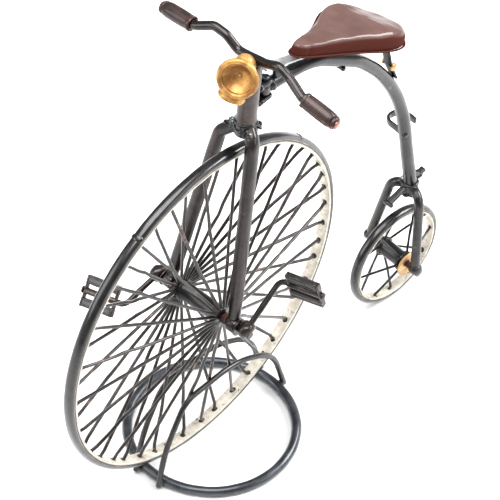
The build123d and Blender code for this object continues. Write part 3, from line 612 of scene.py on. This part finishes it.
tyre_band(SMALL, 2.6, 12, (200,))
rim_hoop(SMALL, 32.7, 2.2, 3.8, 0.35, 22)
small_feet = spoke_wires(SMALL, 12, 0.8, 6.2, 30.8, 8.0, 32, CHARCOAL, 0.3, 0.5)
rim_beads(SMALL, small_feet, 30.6, 42, 1.1)
wheel_hub(SMALL, 10.6, 2.1, 5.2, 8.0, 2.2, 6.6, 52)
small_hub_washer("left", 1, 8.1, BRASS)
small_hub_washer("right", -1, 4.9, RED_COPPER)


# Cranks and pedals
PIN_TURN, PIN_RISE = radians(9.0), radians(8.5)
PEDAL_AXIS = unit([-sin(PIN_TURN) * cos(PIN_RISE), cos(PIN_TURN) * cos(PIN_RISE), sin(PIN_RISE)])
CRANK_ASIDE = 33.0


def upright(degrees):
    """Way at an angle from straight ahead, in the plane of the wheels."""
    return np.array([cos(radians(degrees)), 0, sin(radians(degrees))])


def crank_and_pedal(hand, side, crank_length, crank_angle, pedal_tilt, seed):
    """Forged boss, bent rod with its pin, and a pedal of two end plates, two treads and a sleeve."""
    reach = upright(crank_angle)
    across = np.cross(reach, Y_WAY)
    boss = np.array([0, side * CRANK_ASIDE, BIG_Z])
    corner = boss + crank_length * reach
    outward = PEDAL_AXIS * side
    start = corner + 5.7 * outward
    collar = softened([(-5.3, 2.0), (-4.4, 2.0), (-4.4, 5.2), (-5.3, 5.2)], 0.3, True)
    piece(f"{hand}_crank_lump", [
        lump(boss + 1.1 * reach + (0, 0, 1.2), (5.2, 4.3, 4.3), seed, 0.11, (reach, Y_WAY, across), 2.3),
        spun(collar, boss, (0, side, 0), seed + 12, 40, 0.04, 4.0, True),
    ], BROWNED, "front_wheel", STEEL, [f"{hand}_crank_boss"])
    head = softened([(0.0, 0.05), (0.0, 2.3), (0.9, 2.3), (1.5, 1.3), (1.65, 0.05)], 0.5)
    piece(f"{hand}_crank_rod", [
        rod([boss + 1.5 * reach, corner, start - 0.3 * outward], [4.6], 1.75, seed + 1, soft=0.3,
            reference=across, rough=0.05),
        rod([start - 0.9 * outward, start + 22.6 * outward], [], 1.2, seed + 2, reference=reach),
        spun(head, start + 22.3 * outward, outward, seed + 3, 28, 0.08, 3.0),
    ], BROWNED, "front_wheel", BROWN, [f"{hand}_crank"])

    up = upright(pedal_tilt)
    up = unit(up - outward * (up @ outward))
    flat = np.cross(outward, up)

    def at(u, v, w):
        """Point of the pedal: u along its height, v through it and w out along the pin."""
        return start + up * u + flat * v + outward * w

    cage = []
    for distance in (0.7, 21.3):
        for u in (-6.7, 6.7):
            cage.append(rod([at(u, -1.9, distance), at(u, 1.9, distance)], [], 0.72, seed + 4, 0.7, 24, 0.5,
                            up, 6.0, 3.8, 0.03))
        cage.append(rod([at(-6.0, 0, distance), at(6.0, 0, distance)], [], 1.6, seed + 5, 0.9, 24, 0.1,
                        outward, 5.0, 0.43, 0.04))
    bore = softened([(0.0, 1.3), (22.0, 1.3), (22.0, 2.0), (0.0, 2.0)], 0.3, True)
    cage.append(spun(bore, start, outward, seed + 6, 24, 0.04, 3.0, True))
    piece(f"{hand}_pedal_plates", cage, PLATE_BROWN, f"{hand}_pedal", BROWN, [f"{hand}_pedal_cage"])
    treads = []
    for number, u in enumerate((-6.7, 6.7)):
        treads.append(rod([at(u, 0, 1.2), at(u, 0, 20.8)], [], 1.8, seed + 7 + number, 1.0, 44, 0.2, up,
                          7.0, 1.5, 0.03))
    ribs = [(u, v) for u in (-8.1, -5.3, 5.3, 8.1) for v in (-1.75, 1.75)]
    for number, (u, v) in enumerate(ribs):
        treads.append(rod([at(u, v, 1.3), at(u, v, 20.7)], [], 0.42, seed + 9 + number, 1.2, 10, 0.3, up,
                          2.4, 1.0, 0.10))
    piece(f"{hand}_pedal_blocks", treads, DARK_TREAD, f"{hand}_pedal", "pedal_rubber",
          [f"{hand}_pedal_treads"])


crank_and_pedal("left", 1, 35.2, 145.0, 81.0, 61)
crank_and_pedal("right", -1, 28.8, -9.5, 133.0, 81)
six_ways = evenly_round(6)
for hand, side in SIDES:
    nut_rows = []
    for y, width in ((16.5, 2.35), (16.5, 3.3), (16.8, 3.58), (19.8, 3.58), (20.1, 3.3), (20.1, 2.35)):
        corner = np.stack([np.cos(six_ways), np.sin(six_ways)], -1) * width
        nut_rows.append(np.stack([corner[:, 0], np.full(6, side * y), BIG_Z + corner[:, 1]], -1))
    piece(f"{hand}_axle_nut", [closed(np.stack(nut_rows), True)], COPPER, "front_wheel",
          "worn_copper", [f"{hand}_hub_nut"], crease=25)


# Fork, handlebar and lamp
def on_neck(rise):
    """Point of the neck's axis at a height over its middle."""
    return (NECK_X, 0, NECK_Z + rise)


piece("neck_pivot_sleeve", [rod([on_neck(-4.3), on_neck(4.3)], [], 3.9, 101, 0.9, 28, 0.5, rough=0.03)],
      BROWNED, "frame", BROWN, ["neck_barrel"])
piece("neck_pivot_pin", [
    rod([on_neck(-8.0), on_neck(8.0)], [], 1.5, 102, 0.9, 18, 0.4, rough=0.03),
    lump(on_neck(8.0), (2.7, 2.7, 1.5), 103, 0.12),
    lump(on_neck(-7.8), (2.5, 2.5, 1.3), 104, 0.12),
], CHARCOAL, BASE, STEEL, ["neck_pin"])
for lug_name, lug_z in (("lower", NECK_Z - 5.7), ("upper", NECK_Z + 5.7)):
    piece(f"{lug_name}_lug_plate", [
        rod([(-37.5, 0, lug_z), (-52.3, 0, lug_z)], [], 4.4, 105, 0.7, 30, 0.7, Z_WAY, 3.4, 0.31, 0.05),
        lump((-41.6, 2.8, lug_z), (2.6, 1.9, 1.9), 106, 0.2),
        lump((-41.6, -2.8, lug_z), (2.6, 1.9, 1.9), 107, 0.2),
    ], CHARCOAL, BASE, STEEL, [f"{lug_name}_neck_lug"])
head_base = np.array([-33.0, 0, TYRE_TOP + 3.0])
head_top = np.array([-38.4, 0, TYRE_TOP + 53.4])
head_way = unit(head_top - head_base)


def blade_width(stops, total):
    """Share of the blade's full width: 0.84 at its foot, growing to 1 over 16 mm."""
    return 0.84 + 0.16 * np.clip(stops / 16, 0, 1)


FORK_FOOT_ASIDE = 24.4
for hand, side, shoulder_y, shoulder_rise in (("left", 1, 9.8, 5.0), ("right", -1, 14.2, -2.4)):
    foot = np.array([0, side * FORK_FOOT_ASIDE, BIG_Z])
    shoulder = np.array([-28.8, side * shoulder_y, TYRE_TOP + shoulder_rise])
    top = np.array([-33.2, side * 2.5, TYRE_TOP + 9.0])
    eye = softened([(-2.8, 2.3), (2.8, 2.3), (2.8, 4.6), (-2.8, 4.6)], 1.1, True)
    start = foot + unit(shoulder - foot) * 3.4
    piece(f"{hand}_blade", [
        rod([start, shoulder, top], [6.5 - 1.5 * side], 3.8, 101 + side, 1.6, 26, 0.4, Y_WAY, 2.4, 1.0,
            0.015, blade_width),
        spun(eye, foot, Y_WAY, 103 + side, 40, 0.05, 5.0, True),
    ], BROWNED, BASE, BROWN, [f"{hand}_fork_blade"])

crown_side = softened([(-0.4, 0.05), (-0.4, 5.8), (0.6, 6.9), (8.6, 6.9), (9.8, 6.3), (10.2, 0.05)], 0.8)
crown_shells = [spun(crown_side, head_base, head_way, 111, 48, 0.05, 6.0)]
crown_shells += lumps([
    ((-29.4, 6.4, 236.2), (3.4, 3.0, 1.8)), ((-29.6, -7.4, 235.4), (3.0, 3.4, 1.6)),
    ((-37.6, 5.4, 236.8), (2.2, 2.6, 1.7)), ((-37.6, -5.4, 236.2), (2.2, 2.6, 1.7)),
    ((-27.4, 1.2, 236.8), (1.5, 3.4, 1.7)), ((-27.9, -3.6, 237.8), (1.4, 2.2, 1.3))], 113, 0.22, 0.5)
piece("fork_crown_weld", crown_shells, CHARCOAL, BASE, STEEL, ["fork_crown"])
# Bright lumps on the crown's welds: painted glints.
piece("fork_weld_painted_glints", lumps([
    ((-31.6, -8.2, 236.4), (2.0, 1.8, 1.0)), ((-30.2, -6.2, 237.6), (1.5, 1.3, 1.0)),
    ((-29.4, 7.4, 237.2), (1.2, 1.4, 0.8))], 125, 0.2, 0.5), GLINT_SILVER, BASE, STEEL)

tube_length = np.linalg.norm(head_top - head_base)
tube_side = softened([
    (9.3, 0.05), (9.3, 5.8), (10.0, 6.2), (11.4, 6.1), (13.6, 5.85), (tube_length - 0.5, 5.8),
    (tube_length, 5.2), (tube_length, 0.05)], 0.6)
tube_rows = np.concatenate([tube_side[:-5], np.stack([np.linspace(15, tube_length - 1.5, 24),
                                                      np.full(24, 5.8)], -1), tube_side[-5:]])
tube_rows = tube_rows[np.argsort(tube_rows[:, 0], kind="stable")]
piece("steering_tube", [spun(tube_rows, head_base, head_way, 121, 48, 0.012, 9.0)], TUBE_BROWN, BASE, STEEL,
      ["head_tube"])

left_bar = [
    (-35.5, 64.0, 278.8), (-34.8, 38.6, 283.0), (-38.3, 26.6, 286.4), (-38.6, 18.2, 289.8),
    (-38.6, 8.5, 285.6)]
right_bar = [
    (-38.6, -10.5, 282.2), (-38.6, -19.8, 288.2), (-38.3, -28.5, 289.4), (-34.6, -39.0, 284.8),
    (-35.5, -64.8, 282.6)]
bar_bends = [5.0, 5.5, 5.0, 6.0]
bar_shells = [
    rod(left_bar + right_bar, bar_bends + bar_bends[::-1], 2.75, 131, 1.6, 22, 0.3, X_WAY, rough=0.02),
    lump((-38.6, 0.8, 282.4), (4.0, 5.4, 2.7), 133, 0.1),
    lump((-38.4, -5.6, 281.2), (4.0, 2.4, 3.0), 134, 0.1)]
piece("bent_handlebar", bar_shells, BLUED_BAR, BASE, BROWN, ["handlebar"],
      marks=[np.abs(shell[0][:, 1]) > 63.0 for shell in bar_shells])
for hand, side in SIDES:
    tip = np.array(left_bar[0] if side > 0 else right_bar[-1])
    bend = np.array(left_bar[1] if side > 0 else right_bar[-2])
    way = unit(bend - tip)
    outer = tip + 1.7 * way
    sleeve = softened([
        (0.0, 2.8), (0.0, 3.6), (0.3, 4.0), (1.5, 4.05), (1.9, 3.5), (2.4, 4.3), (5.0, 4.6), (11.0, 4.7),
        (17.0, 4.6), (20.4, 4.4), (20.8, 4.65), (22.2, 4.6), (22.5, 4.1), (22.5, 2.8)], 0.25, True)
    grip = spun(sleeve, outer, way, 141 + side, 44, 0.03, 7.0, True)
    piece(f"{hand}_sleeve_grip", [grip], GRIP_RED, BASE, "grip_metal", [f"{hand}_grip"])

lamp_middle = np.array([-27.8, 0.6, TYRE_TOP + 51.4])
lamp_tilt, lamp_turn, lamp_lean = radians(22), radians(26), radians(14)
heading = np.array([cos(lamp_turn), sin(lamp_turn), 0])
lens_way = heading * cos(lamp_tilt) + np.array([0, 0, sin(lamp_tilt)])
lamp_up = np.array([0, 0, cos(lamp_tilt)]) - heading * sin(lamp_tilt)
lamp_up = lamp_up * cos(lamp_lean) + np.cross(lamp_up, lens_way) * sin(lamp_lean)
lip = np.linspace(-0.35 * np.pi, 1.12 * np.pi, 15)
dish = np.linspace(0, 1, 9)[1:-1]
bowl_side = np.concatenate([
    [(-0.7, 0.05), (-0.7, 4.0), (-0.7, 7.0), (-0.2, 7.6), (1.2, 8.6), (3.0, 9.5), (4.6, 10.2)],
    np.stack([6.1 + 1.75 * np.sin(lip), 10.25 + 1.75 * np.cos(lip)], -1),
    np.stack([5.6 - 4.1 * np.sin(dish * np.pi / 2) ** 0.8, 8.4 - 6.9 * dish], -1),
    [(1.5, 1.35), (2.0, 1.2), (2.4, 0.7), (2.5, 0.05)]])
dish_shell = spun(bowl_side, lamp_middle, lens_way, 151, 64, 0.012, 7.0)
# Marks that darken the groove inside the lip and the hollow round the middle boss: painted shade in the
# recesses.
groove = np.exp(-((bowl_side[:, 1] - 8.1) / 0.7) ** 2) * (bowl_side[:, 0] > 4.0) * 0.55
groove += np.exp(-((bowl_side[:, 1] - 1.35) / 0.6) ** 2) * (bowl_side[:, 0] > 0.5) * 0.4
piece("lamp_dish", [dish_shell], GOLD, BASE, "lamp_brass", ["lamp_bowl"],
      marks=[np.concatenate([np.repeat(groove, 64), [0.0, 0.0]])])
dome = np.linspace(0.05, np.pi / 2, 8)
case_side = np.concatenate([
    np.stack([6.3 + 6.2 * np.cos(dome), 6.2 * np.sin(dome)], -1),
    [(4.0, 6.25), (0.0, 6.2), (-4.0, 6.1), (-7.5, 6.0), (-9.4, 6.1), (-11.0, 6.6), (-12.6, 7.3), (-13.9, 7.9),
     (-14.5, 7.7), (-14.4, 6.8), (-13.0, 5.2), (-12.5, 0.05)]])
case = turned(case_side, lamp_middle, lamp_up, 161, 56, False, 0.02, 7.0)
away = case - lamp_middle
forward, height = away @ lens_way, away @ lamp_up
aside = away @ np.cross(lamp_up, lens_way)
reach = np.hypot(height, aside)
allowed = 0.6 + 9.0 * np.clip((reach - 8.0) / 2.0, 0, 1)
case = case - np.clip(forward - allowed, 0, None)[..., None] * lens_way
piece("lamp_case", [closed(case)], GOLD, BASE, "lamp_brass", ["lamp_body"])


# Stand
RING_RADIUS, RING_ROD, ARCH_ASIDE = 49.6, 2.95, 9.0
ring_turn = evenly_round(20)
ring_section = np.stack([RING_ROD + 2.93 * np.sin(ring_turn),
                         RING_RADIUS + RING_ROD * np.cos(ring_turn)], -1)
ring_grid = turned(ring_section, (-8.9, 1.2, 0), Z_WAY, 171, 200, True, 0.02, 16.0)
ring_grid[..., 2] = np.clip(ring_grid[..., 2], 0.03, None)
feet = [((x, y, 3.8), (2.4, 2.3, 2.6)) for x in (43.6, -61.6) for y in (ARCH_ASIDE, -ARCH_ASIDE)]
piece("stand_hoop", [closed(ring_grid, True)] + lumps(feet, 173, 0.12), HOOP_GREY, BASE, STEEL,
      ["stand_ring"])
arch_profile = [(45.2, 1.3), (39.5, 29.0), (22.5, 57.8), (-20.0, 57.4), (-52.5, 38.0), (-63.4, 1.3)]
for hand, side in SIDES:
    arch = rod([(x, side * ARCH_ASIDE, z) for x, z in arch_profile], [90.0, 13.0, 60.0, 40.0], 1.7,
               181 + side, 2.0, 16, 0.5, Y_WAY, rough=0.03)
    piece(f"{hand}_stand_wire", [arch], FORK_GREY, BASE, STEEL, [f"{hand}_arch"])


# Frame
def round_big_wheel(degrees, gap):
    """Point in the middle plane at an angle from straight ahead and a gap outside the big tyre."""
    return BIG.point(BIG_RADIUS + gap, degrees)


backbone_line = [(-49.8, 0, NECK_Z), round_big_wheel(122.1, 48.2), round_big_wheel(138.4, 52.6),
                 round_big_wheel(156.7, 61.0), (-171.6, 0, 92.0)]
piece("bowed_backbone", [
    rod(backbone_line, [45.0, 60.0, 148.0], 4.0, 191, 2.4, 26, 0.4, Y_WAY, rough=0.014),
    lump((-52.6, 0, NECK_Z), (2.6, 4.5, 4.4), 193, 0.07),
], BACKBONE_GREY, "frame", BROWN, ["backbone"], True)

strip_line = [(-46.5, 0, 270.2), (-139.5, 0, 240.2), round_big_wheel(149.0, 61.0),
              round_big_wheel(153.6, 59.2)]
leaf = rod(strip_line, [6.0, 6.0], 0.72, 201, 1.6, 28, 0.4, Y_WAY, 7.0, 4.2, 0.02)
piece("saddle_leaf", [leaf], SPRING, "frame", "spring_steel", ["saddle_spring"], True,
      marks=[np.clip((-118 - leaf[0][:, 0]) / 6, 0, 1)])

bolt_middle = round_big_wheel(150.0, 63.2) + (2.0, 0, 0.4)
piece("leaf_bolt", [
    rod([bolt_middle + (0, -4.2, 0), bolt_middle + (0, 2.0, 0)], [], 1.3, 205, 0.8, 16, 0.4, Z_WAY,
        rough=0.06),
    lump(bolt_middle + (0, 2.6, 0), (2.5, 1.5, 2.5), 207, 0.08, power=2.6),
    lump(bolt_middle + (0, -4.4, 0), (2.1, 1.2, 2.1), 208, 0.08, power=2.6),
], BRASS, "frame", "worn_brass", ["saddle_bolt"], True)


def saddle_shape():
    """Padded saddle: rows run from the middle of the sole out to its edge, up the leaning side wall, over a
    rounded ridge and in over the crown to the spine; each row is the plan outline drawn in towards the spine
    by its share and lifted by its share of the height, which falls evenly from left to right."""
    left_half = [
        (0.0, 0.0), (1.0, 3.0), (5.6, 5.2), (14.0, 7.6), (22.0, 9.8), (31.0, 12.0), (39.0, 14.3),
        (47.5, 17.1), (55.0, 19.7), (62.0, 21.7), (69.0, 22.4), (76.0, 20.6), (80.8, 14.6), (82.4, 7.4),
        (82.4, 0.0)]
    right_half = [
        (1.0, 2.4), (5.6, 4.0), (14.0, 6.2), (22.0, 8.9), (30.0, 11.8), (38.0, 15.6), (46.0, 20.2),
        (53.0, 23.3), (60.0, 23.9), (67.0, 22.2), (73.0, 18.8), (77.6, 13.2), (80.6, 6.6)]
    outline = np.array(left_half + [(back, -aside) for back, aside in right_half[::-1]])
    for _ in range(3):
        ahead = np.roll(outline, -1, 0)
        outline = np.stack([0.75 * outline + 0.25 * ahead, 0.25 * outline + 0.75 * ahead], 1).reshape(-1, 2)
    ring = np.concatenate([outline, outline[:1]])
    lengths = np.concatenate([[0], np.cumsum(np.linalg.norm(np.diff(ring, axis=0), axis=1))])
    stops = np.linspace(0, lengths[-1], 240, endpoint=False)
    outline = np.stack([np.interp(stops, lengths, ring[:, axis]) for axis in (0, 1)], -1)
    spine = np.stack([np.clip(outline[:, 0], 7.0, 62.0), np.zeros(len(outline))], -1)
    share_height = np.array([
        (0.97, -0.012), (0.6, -0.012), (0.25, 0.0), (0.07, 0.012), (0.02, 0.05), (0.0, 0.12), (0.006, 0.30),
        (0.016, 0.48), (0.034, 0.65), (0.062, 0.79), (0.10, 0.885), (0.15, 0.94), (0.215, 0.965),
        (0.31, 0.98), (0.45, 0.99), (0.6, 0.995), (0.78, 1.0), (0.97, 1.0)])
    share, height = share_height[:, :1, None], share_height[:, 1:, None]
    flat = outline + (spine - outline) * share
    rise = 7.4 + 0.032 * flat[..., :1] - 4.2 * np.clip((flat[..., :1] - 62) / 21, 0, 1)
    lift = height * (rise + 2.2 * np.clip(flat[..., 1:] / 12, -1, 1) * np.clip(flat[..., :1] / 20, 0.3, 1))
    grid = np.concatenate([flat, lift], -1)
    crown = np.clip(share[..., 0] * (0.97 - share[..., 0]) * 6, 0, 1) * height[..., 0]
    grid[..., 2] += 0.2 * crown * ripple(grid, 15.0, 211)
    fold = np.exp(-((grid[..., 0] - 8.0) / 1.3) ** 2) * np.exp(-((height[..., 0] - 0.55) / 0.35) ** 2)
    grid[..., 1] -= 0.7 * np.sign(grid[..., 1]) * fold
    grid[..., 2] -= 0.5 * fold
    seam = np.stack([outline[:, 0], outline[:, 1], np.full(len(outline), 0.5)], -1)
    seam[:, :2] += 0.45 * unit(outline - spine)
    # Mark of the wall rows: it colours them darker and redder as painted shade and takes the gloss off them.
    wall = np.repeat(np.clip((0.9 - share_height[:, 1]) / 0.35, 0, 1), len(outline))
    return grid, seam, wall


saddle_slope, saddle_turn = radians(21), radians(-2.3)
sole_back = np.array([-cos(saddle_slope), 0, -sin(saddle_slope)])
sole_up = np.array([-sin(saddle_slope), 0, cos(saddle_slope)])
sole_left = np.array(Y_WAY)
saddle_nose = np.array([-67.0, 0, 269.7]) - 2.7 * sole_back + 3.4 * sole_left
saddle_axes = np.stack([cos(saddle_turn) * sole_back + sin(saddle_turn) * sole_left,
                        cos(saddle_turn) * sole_left - sin(saddle_turn) * sole_back, sole_up])
cushion, seam_line, wall = saddle_shape()
seam_line = np.concatenate([seam_line[-1:], seam_line, seam_line[:1]])
piping = carried(seam_line, squarish(1.3, 1.1, 2.0, 10), Z_WAY)[1:-1]
shells = [closed(cushion @ saddle_axes + saddle_nose), closed(piping @ saddle_axes + saddle_nose, True)]
# The piping is marked whole, so it takes the same painted shade.
walls = [np.concatenate([wall, [1.0, 0.0]]), np.ones(len(shells[1][0]))]
saddle = piece("stitched_saddle", shells, LEATHER, "frame", "saddle_leather", ["saddle"], True, 60, walls)


# Fittings and the rear fork
loop_x = -169.5
peg_middle = round_big_wheel(134.8, 46.1) + (3.4, 0, 2.8)
piece("backbone_peg", [
    rod([peg_middle + (0, -4.6, 0), peg_middle + (0, 4.4, 0)], [], 1.5, 217, 0.9, 18, 0.5, Z_WAY,
        rough=0.05),
    lump(peg_middle + (-0.6, 0.6, 0.8), (2.8, 2.4, 1.9), 219, 0.14),
], CHARCOAL, "frame", STEEL, ["peg"], True)
strap = [
    (loop_x + 8.2, 2.6, 140.6), (loop_x + 8.9, -14.0, 142.4), (loop_x - 3.4, -12.0, 142.0),
    (loop_x - 3.4, 0.2, 142.0)]
piece("foot_loop", [
    rod(strap, [4.4, 4.4], 0.95, 221, 1.0, 18, 0.4, Z_WAY, 6.0, 2.3, 0.04),
    lump((loop_x + 7.8, 2.4, 140.2), (2.0, 1.9, 2.2), 223, 0.16),
], CHARCOAL, "frame", STEEL, ["step_loop"], True)
bar_way = unit((26.5, 0, -15.0))
step_tail, step_tip = np.array([-183.0, 0, 95.5]), np.array([-154.6, -0.6, 84.6])
piece("mounting_step", [
    rod([step_tail, step_tip], [], 0.9, 231, 1.2, 24, 0.5, Y_WAY, 6.0, 2.2, 0.03),
    rod([step_tip + (0, -3.4, 0), step_tip + (0, 3.4, 0)], [], 1.4, 233, 1.0, 18, 0.4, bar_way, rough=0.05),
    lump((-178.6, 0, 93.2), (3.4, 3.0, 2.1), 235, 0.14),
], CHARCOAL, "frame", BROWN, ["step_bar"], True)
rear_top = np.array([-171.8, 0, 87.5])
crown_side = softened([(-5, 0.05), (-5, 4.4), (-4, 5.2), (4, 5.2), (5, 4.4), (5, 0.05)], 0.6)
crown_shells = [spun(crown_side, rear_top, Z_WAY, 241, 40, 0.07, 5.0)]
crown_shells += lumps([
    (rear_top + (1.5, 4.2, 2.5), (2.6, 3.0, 2.8)), (rear_top + (1.5, -4.2, 2.5), (2.6, 3.0, 2.8)),
    (rear_top + (-3.2, 0, 3.4), (2.2, 3.0, 2.4)), (rear_top + (3.6, 0.5, -3.0), (2.2, 3.2, 2.2))], 243, 0.14)
piece("rear_crown_weld", crown_shells, CHARCOAL, "frame", STEEL, ["rear_crown"], True)
# Bright lumps on the rear crown's welds: painted glints.
piece("rear_weld_painted_glints", lumps([
    ((-170.2, -4.6, 92.6), (1.4, 1.6, 1.2)), ((-169.8, -2.6, 92.2), (1.0, 1.1, 1.3))], 261, 0.2, 0.5),
    GLINT_SILVER, "frame", STEEL, (), True)
arm_rows = (("left", 1, 16.9, 12.2, 94.0), ("right", -1, 20.6, 10.2, 90.5))
for hand, side, foot_y, shoulder_y, shoulder_z in arm_rows:
    boss = softened([(-2.4, 2.0), (2.4, 2.0), (2.4, 3.9), (-2.4, 3.9)], 1.1, True)
    arm_foot = np.array([SMALL_X, side * foot_y, SMALL_Z + 1.2])
    piece(f"{hand}_small_fork_arm", [
        rod([arm_foot + (0, 0, 2.6), (-167.6, side * shoulder_y, shoulder_z), rear_top + (0, side * 1.5, 0)],
            [7.5], 2.9, 251 + side, 1.8, 22, 0.4, Y_WAY, rough=0.015),
        spun(boss, arm_foot, Y_WAY, 253 + side, 36, 0.06, 4.0, True),
        lump(arm_foot + (0, side * 2.4, -0.5), (3.5, 1.9, 3.5), 255 + side, 0.1),
    ], FORK_GREY, "frame", BROWN, [f"{hand}_rear_arm"], True)

KEPT = {
    "front_axle": CHARCOAL, "spring_post": CHARCOAL, "front_saddle_spacer": BRASS,
    "rear_saddle_spacer": BRASS, "rear_axle": RED_COPPER,
}
for node_name, finish in KEPT.items():
    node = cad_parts[node_name]
    node.data.materials.clear()
    node.data.materials.append(finish)


# Floor, light and camera
floor_mesh = bpy.data.meshes.new("table")
floor_mesh.from_pydata([(-6, -6, 0), (6, -6, 0), (6, 6, 0), (-6, 6, 0)], [], [(0, 1, 2, 3)])
floor_finish = Finish("pale_table")
floor_mesh.materials.append(floor_finish.wear(tone(242, 242, 242), 0.9, 0.0, Specular_IOR_Level=0.1))
table = placed("table", floor_mesh)

world = bpy.data.worlds.new("studio")
scene.world = world
world.use_nodes = True
tree = world.node_tree
tree.nodes.clear()


def white_glow(strength):
    """White light from all round."""
    made = tree.nodes.new("ShaderNodeBackground")
    made.inputs["Color"].default_value = (1, 1, 1, 1)
    made.inputs["Strength"].default_value = strength
    return made.outputs[0]


# The camera sees plain white, and the object is lit by a dimmer glow
ray = tree.nodes.new("ShaderNodeLightPath")
choice = tree.nodes.new("ShaderNodeMixShader")
sky = tree.nodes.new("ShaderNodeOutputWorld")
tree.links.new(ray.outputs["Is Camera Ray"], choice.inputs[0])
tree.links.new(white_glow(0.42), choice.inputs[1])
tree.links.new(white_glow(1.0), choice.inputs[2])
tree.links.new(choice.outputs[0], sky.inputs["Surface"])


def facing(right, up, back, place):
    """Matrix of a lamp or camera at a place, looking away from `back`."""
    columns = np.eye(4)
    columns[:3] = np.stack([right, up, back, place], -1)
    return Matrix(columns.tolist())


def soft_light(name, place, aim, width, height, power):
    """Rectangle of light at a place, facing the aim, both in metres."""
    lamp = bpy.data.lights.new(name, "AREA")
    lamp.shape = "RECTANGLE"
    lamp.size, lamp.size_y = width, height
    lamp.energy = power
    back = unit(np.subtract(place, aim))
    right = unit(np.cross((0, 0.02, 1), back))
    placed(name, lamp).matrix_world = facing(right, np.cross(back, right), back, place)


soft_light("overhead_softbox", (0.2, -0.1, 1.5), (0, 0, 0.1), 1.1, 1.1, 34)
soft_light("window_left", (1.3, -0.9, 0.9), (0, 0, 0.15), 0.8, 1.0, 12)
soft_light("back_strip", (-1.03, 0.5, 0.95), (-0.05, 0, 0.2), 0.8, 0.7, 30)
soft_light("window_right", (-0.5, 1.4, 0.8), (0, 0, 0.15), 0.7, 0.9, 7)

# The camera that fits the photograph, in radians, metres and pixels
YAW, PITCH, ROLL = -2.424, 0.829, -0.027
CAMERA_PLACE = (1.1655, 1.0142, 1.8127)
FOCAL_PIXELS, PICTURE_PIXELS, SENSOR_WIDTH = 4028.97, 500, 36
forward = np.array([cos(YAW) * cos(PITCH), sin(YAW) * cos(PITCH), -sin(PITCH)])
level = np.array([sin(YAW), -cos(YAW), 0.0])
down = np.cross(forward, level)
right = cos(ROLL) * level + sin(ROLL) * down
below = cos(ROLL) * down - sin(ROLL) * level
camera_data = bpy.data.cameras.new("camera")
camera_data.sensor_width = SENSOR_WIDTH
camera_data.lens = FOCAL_PIXELS * SENSOR_WIDTH / PICTURE_PIXELS
camera_data.clip_start, camera_data.clip_end = 0.1, 50
camera = placed("camera", camera_data)
camera.matrix_world = facing(right, -below, -forward, CAMERA_PLACE)
scene.camera = camera
scene.view_settings.view_transform = "Standard"
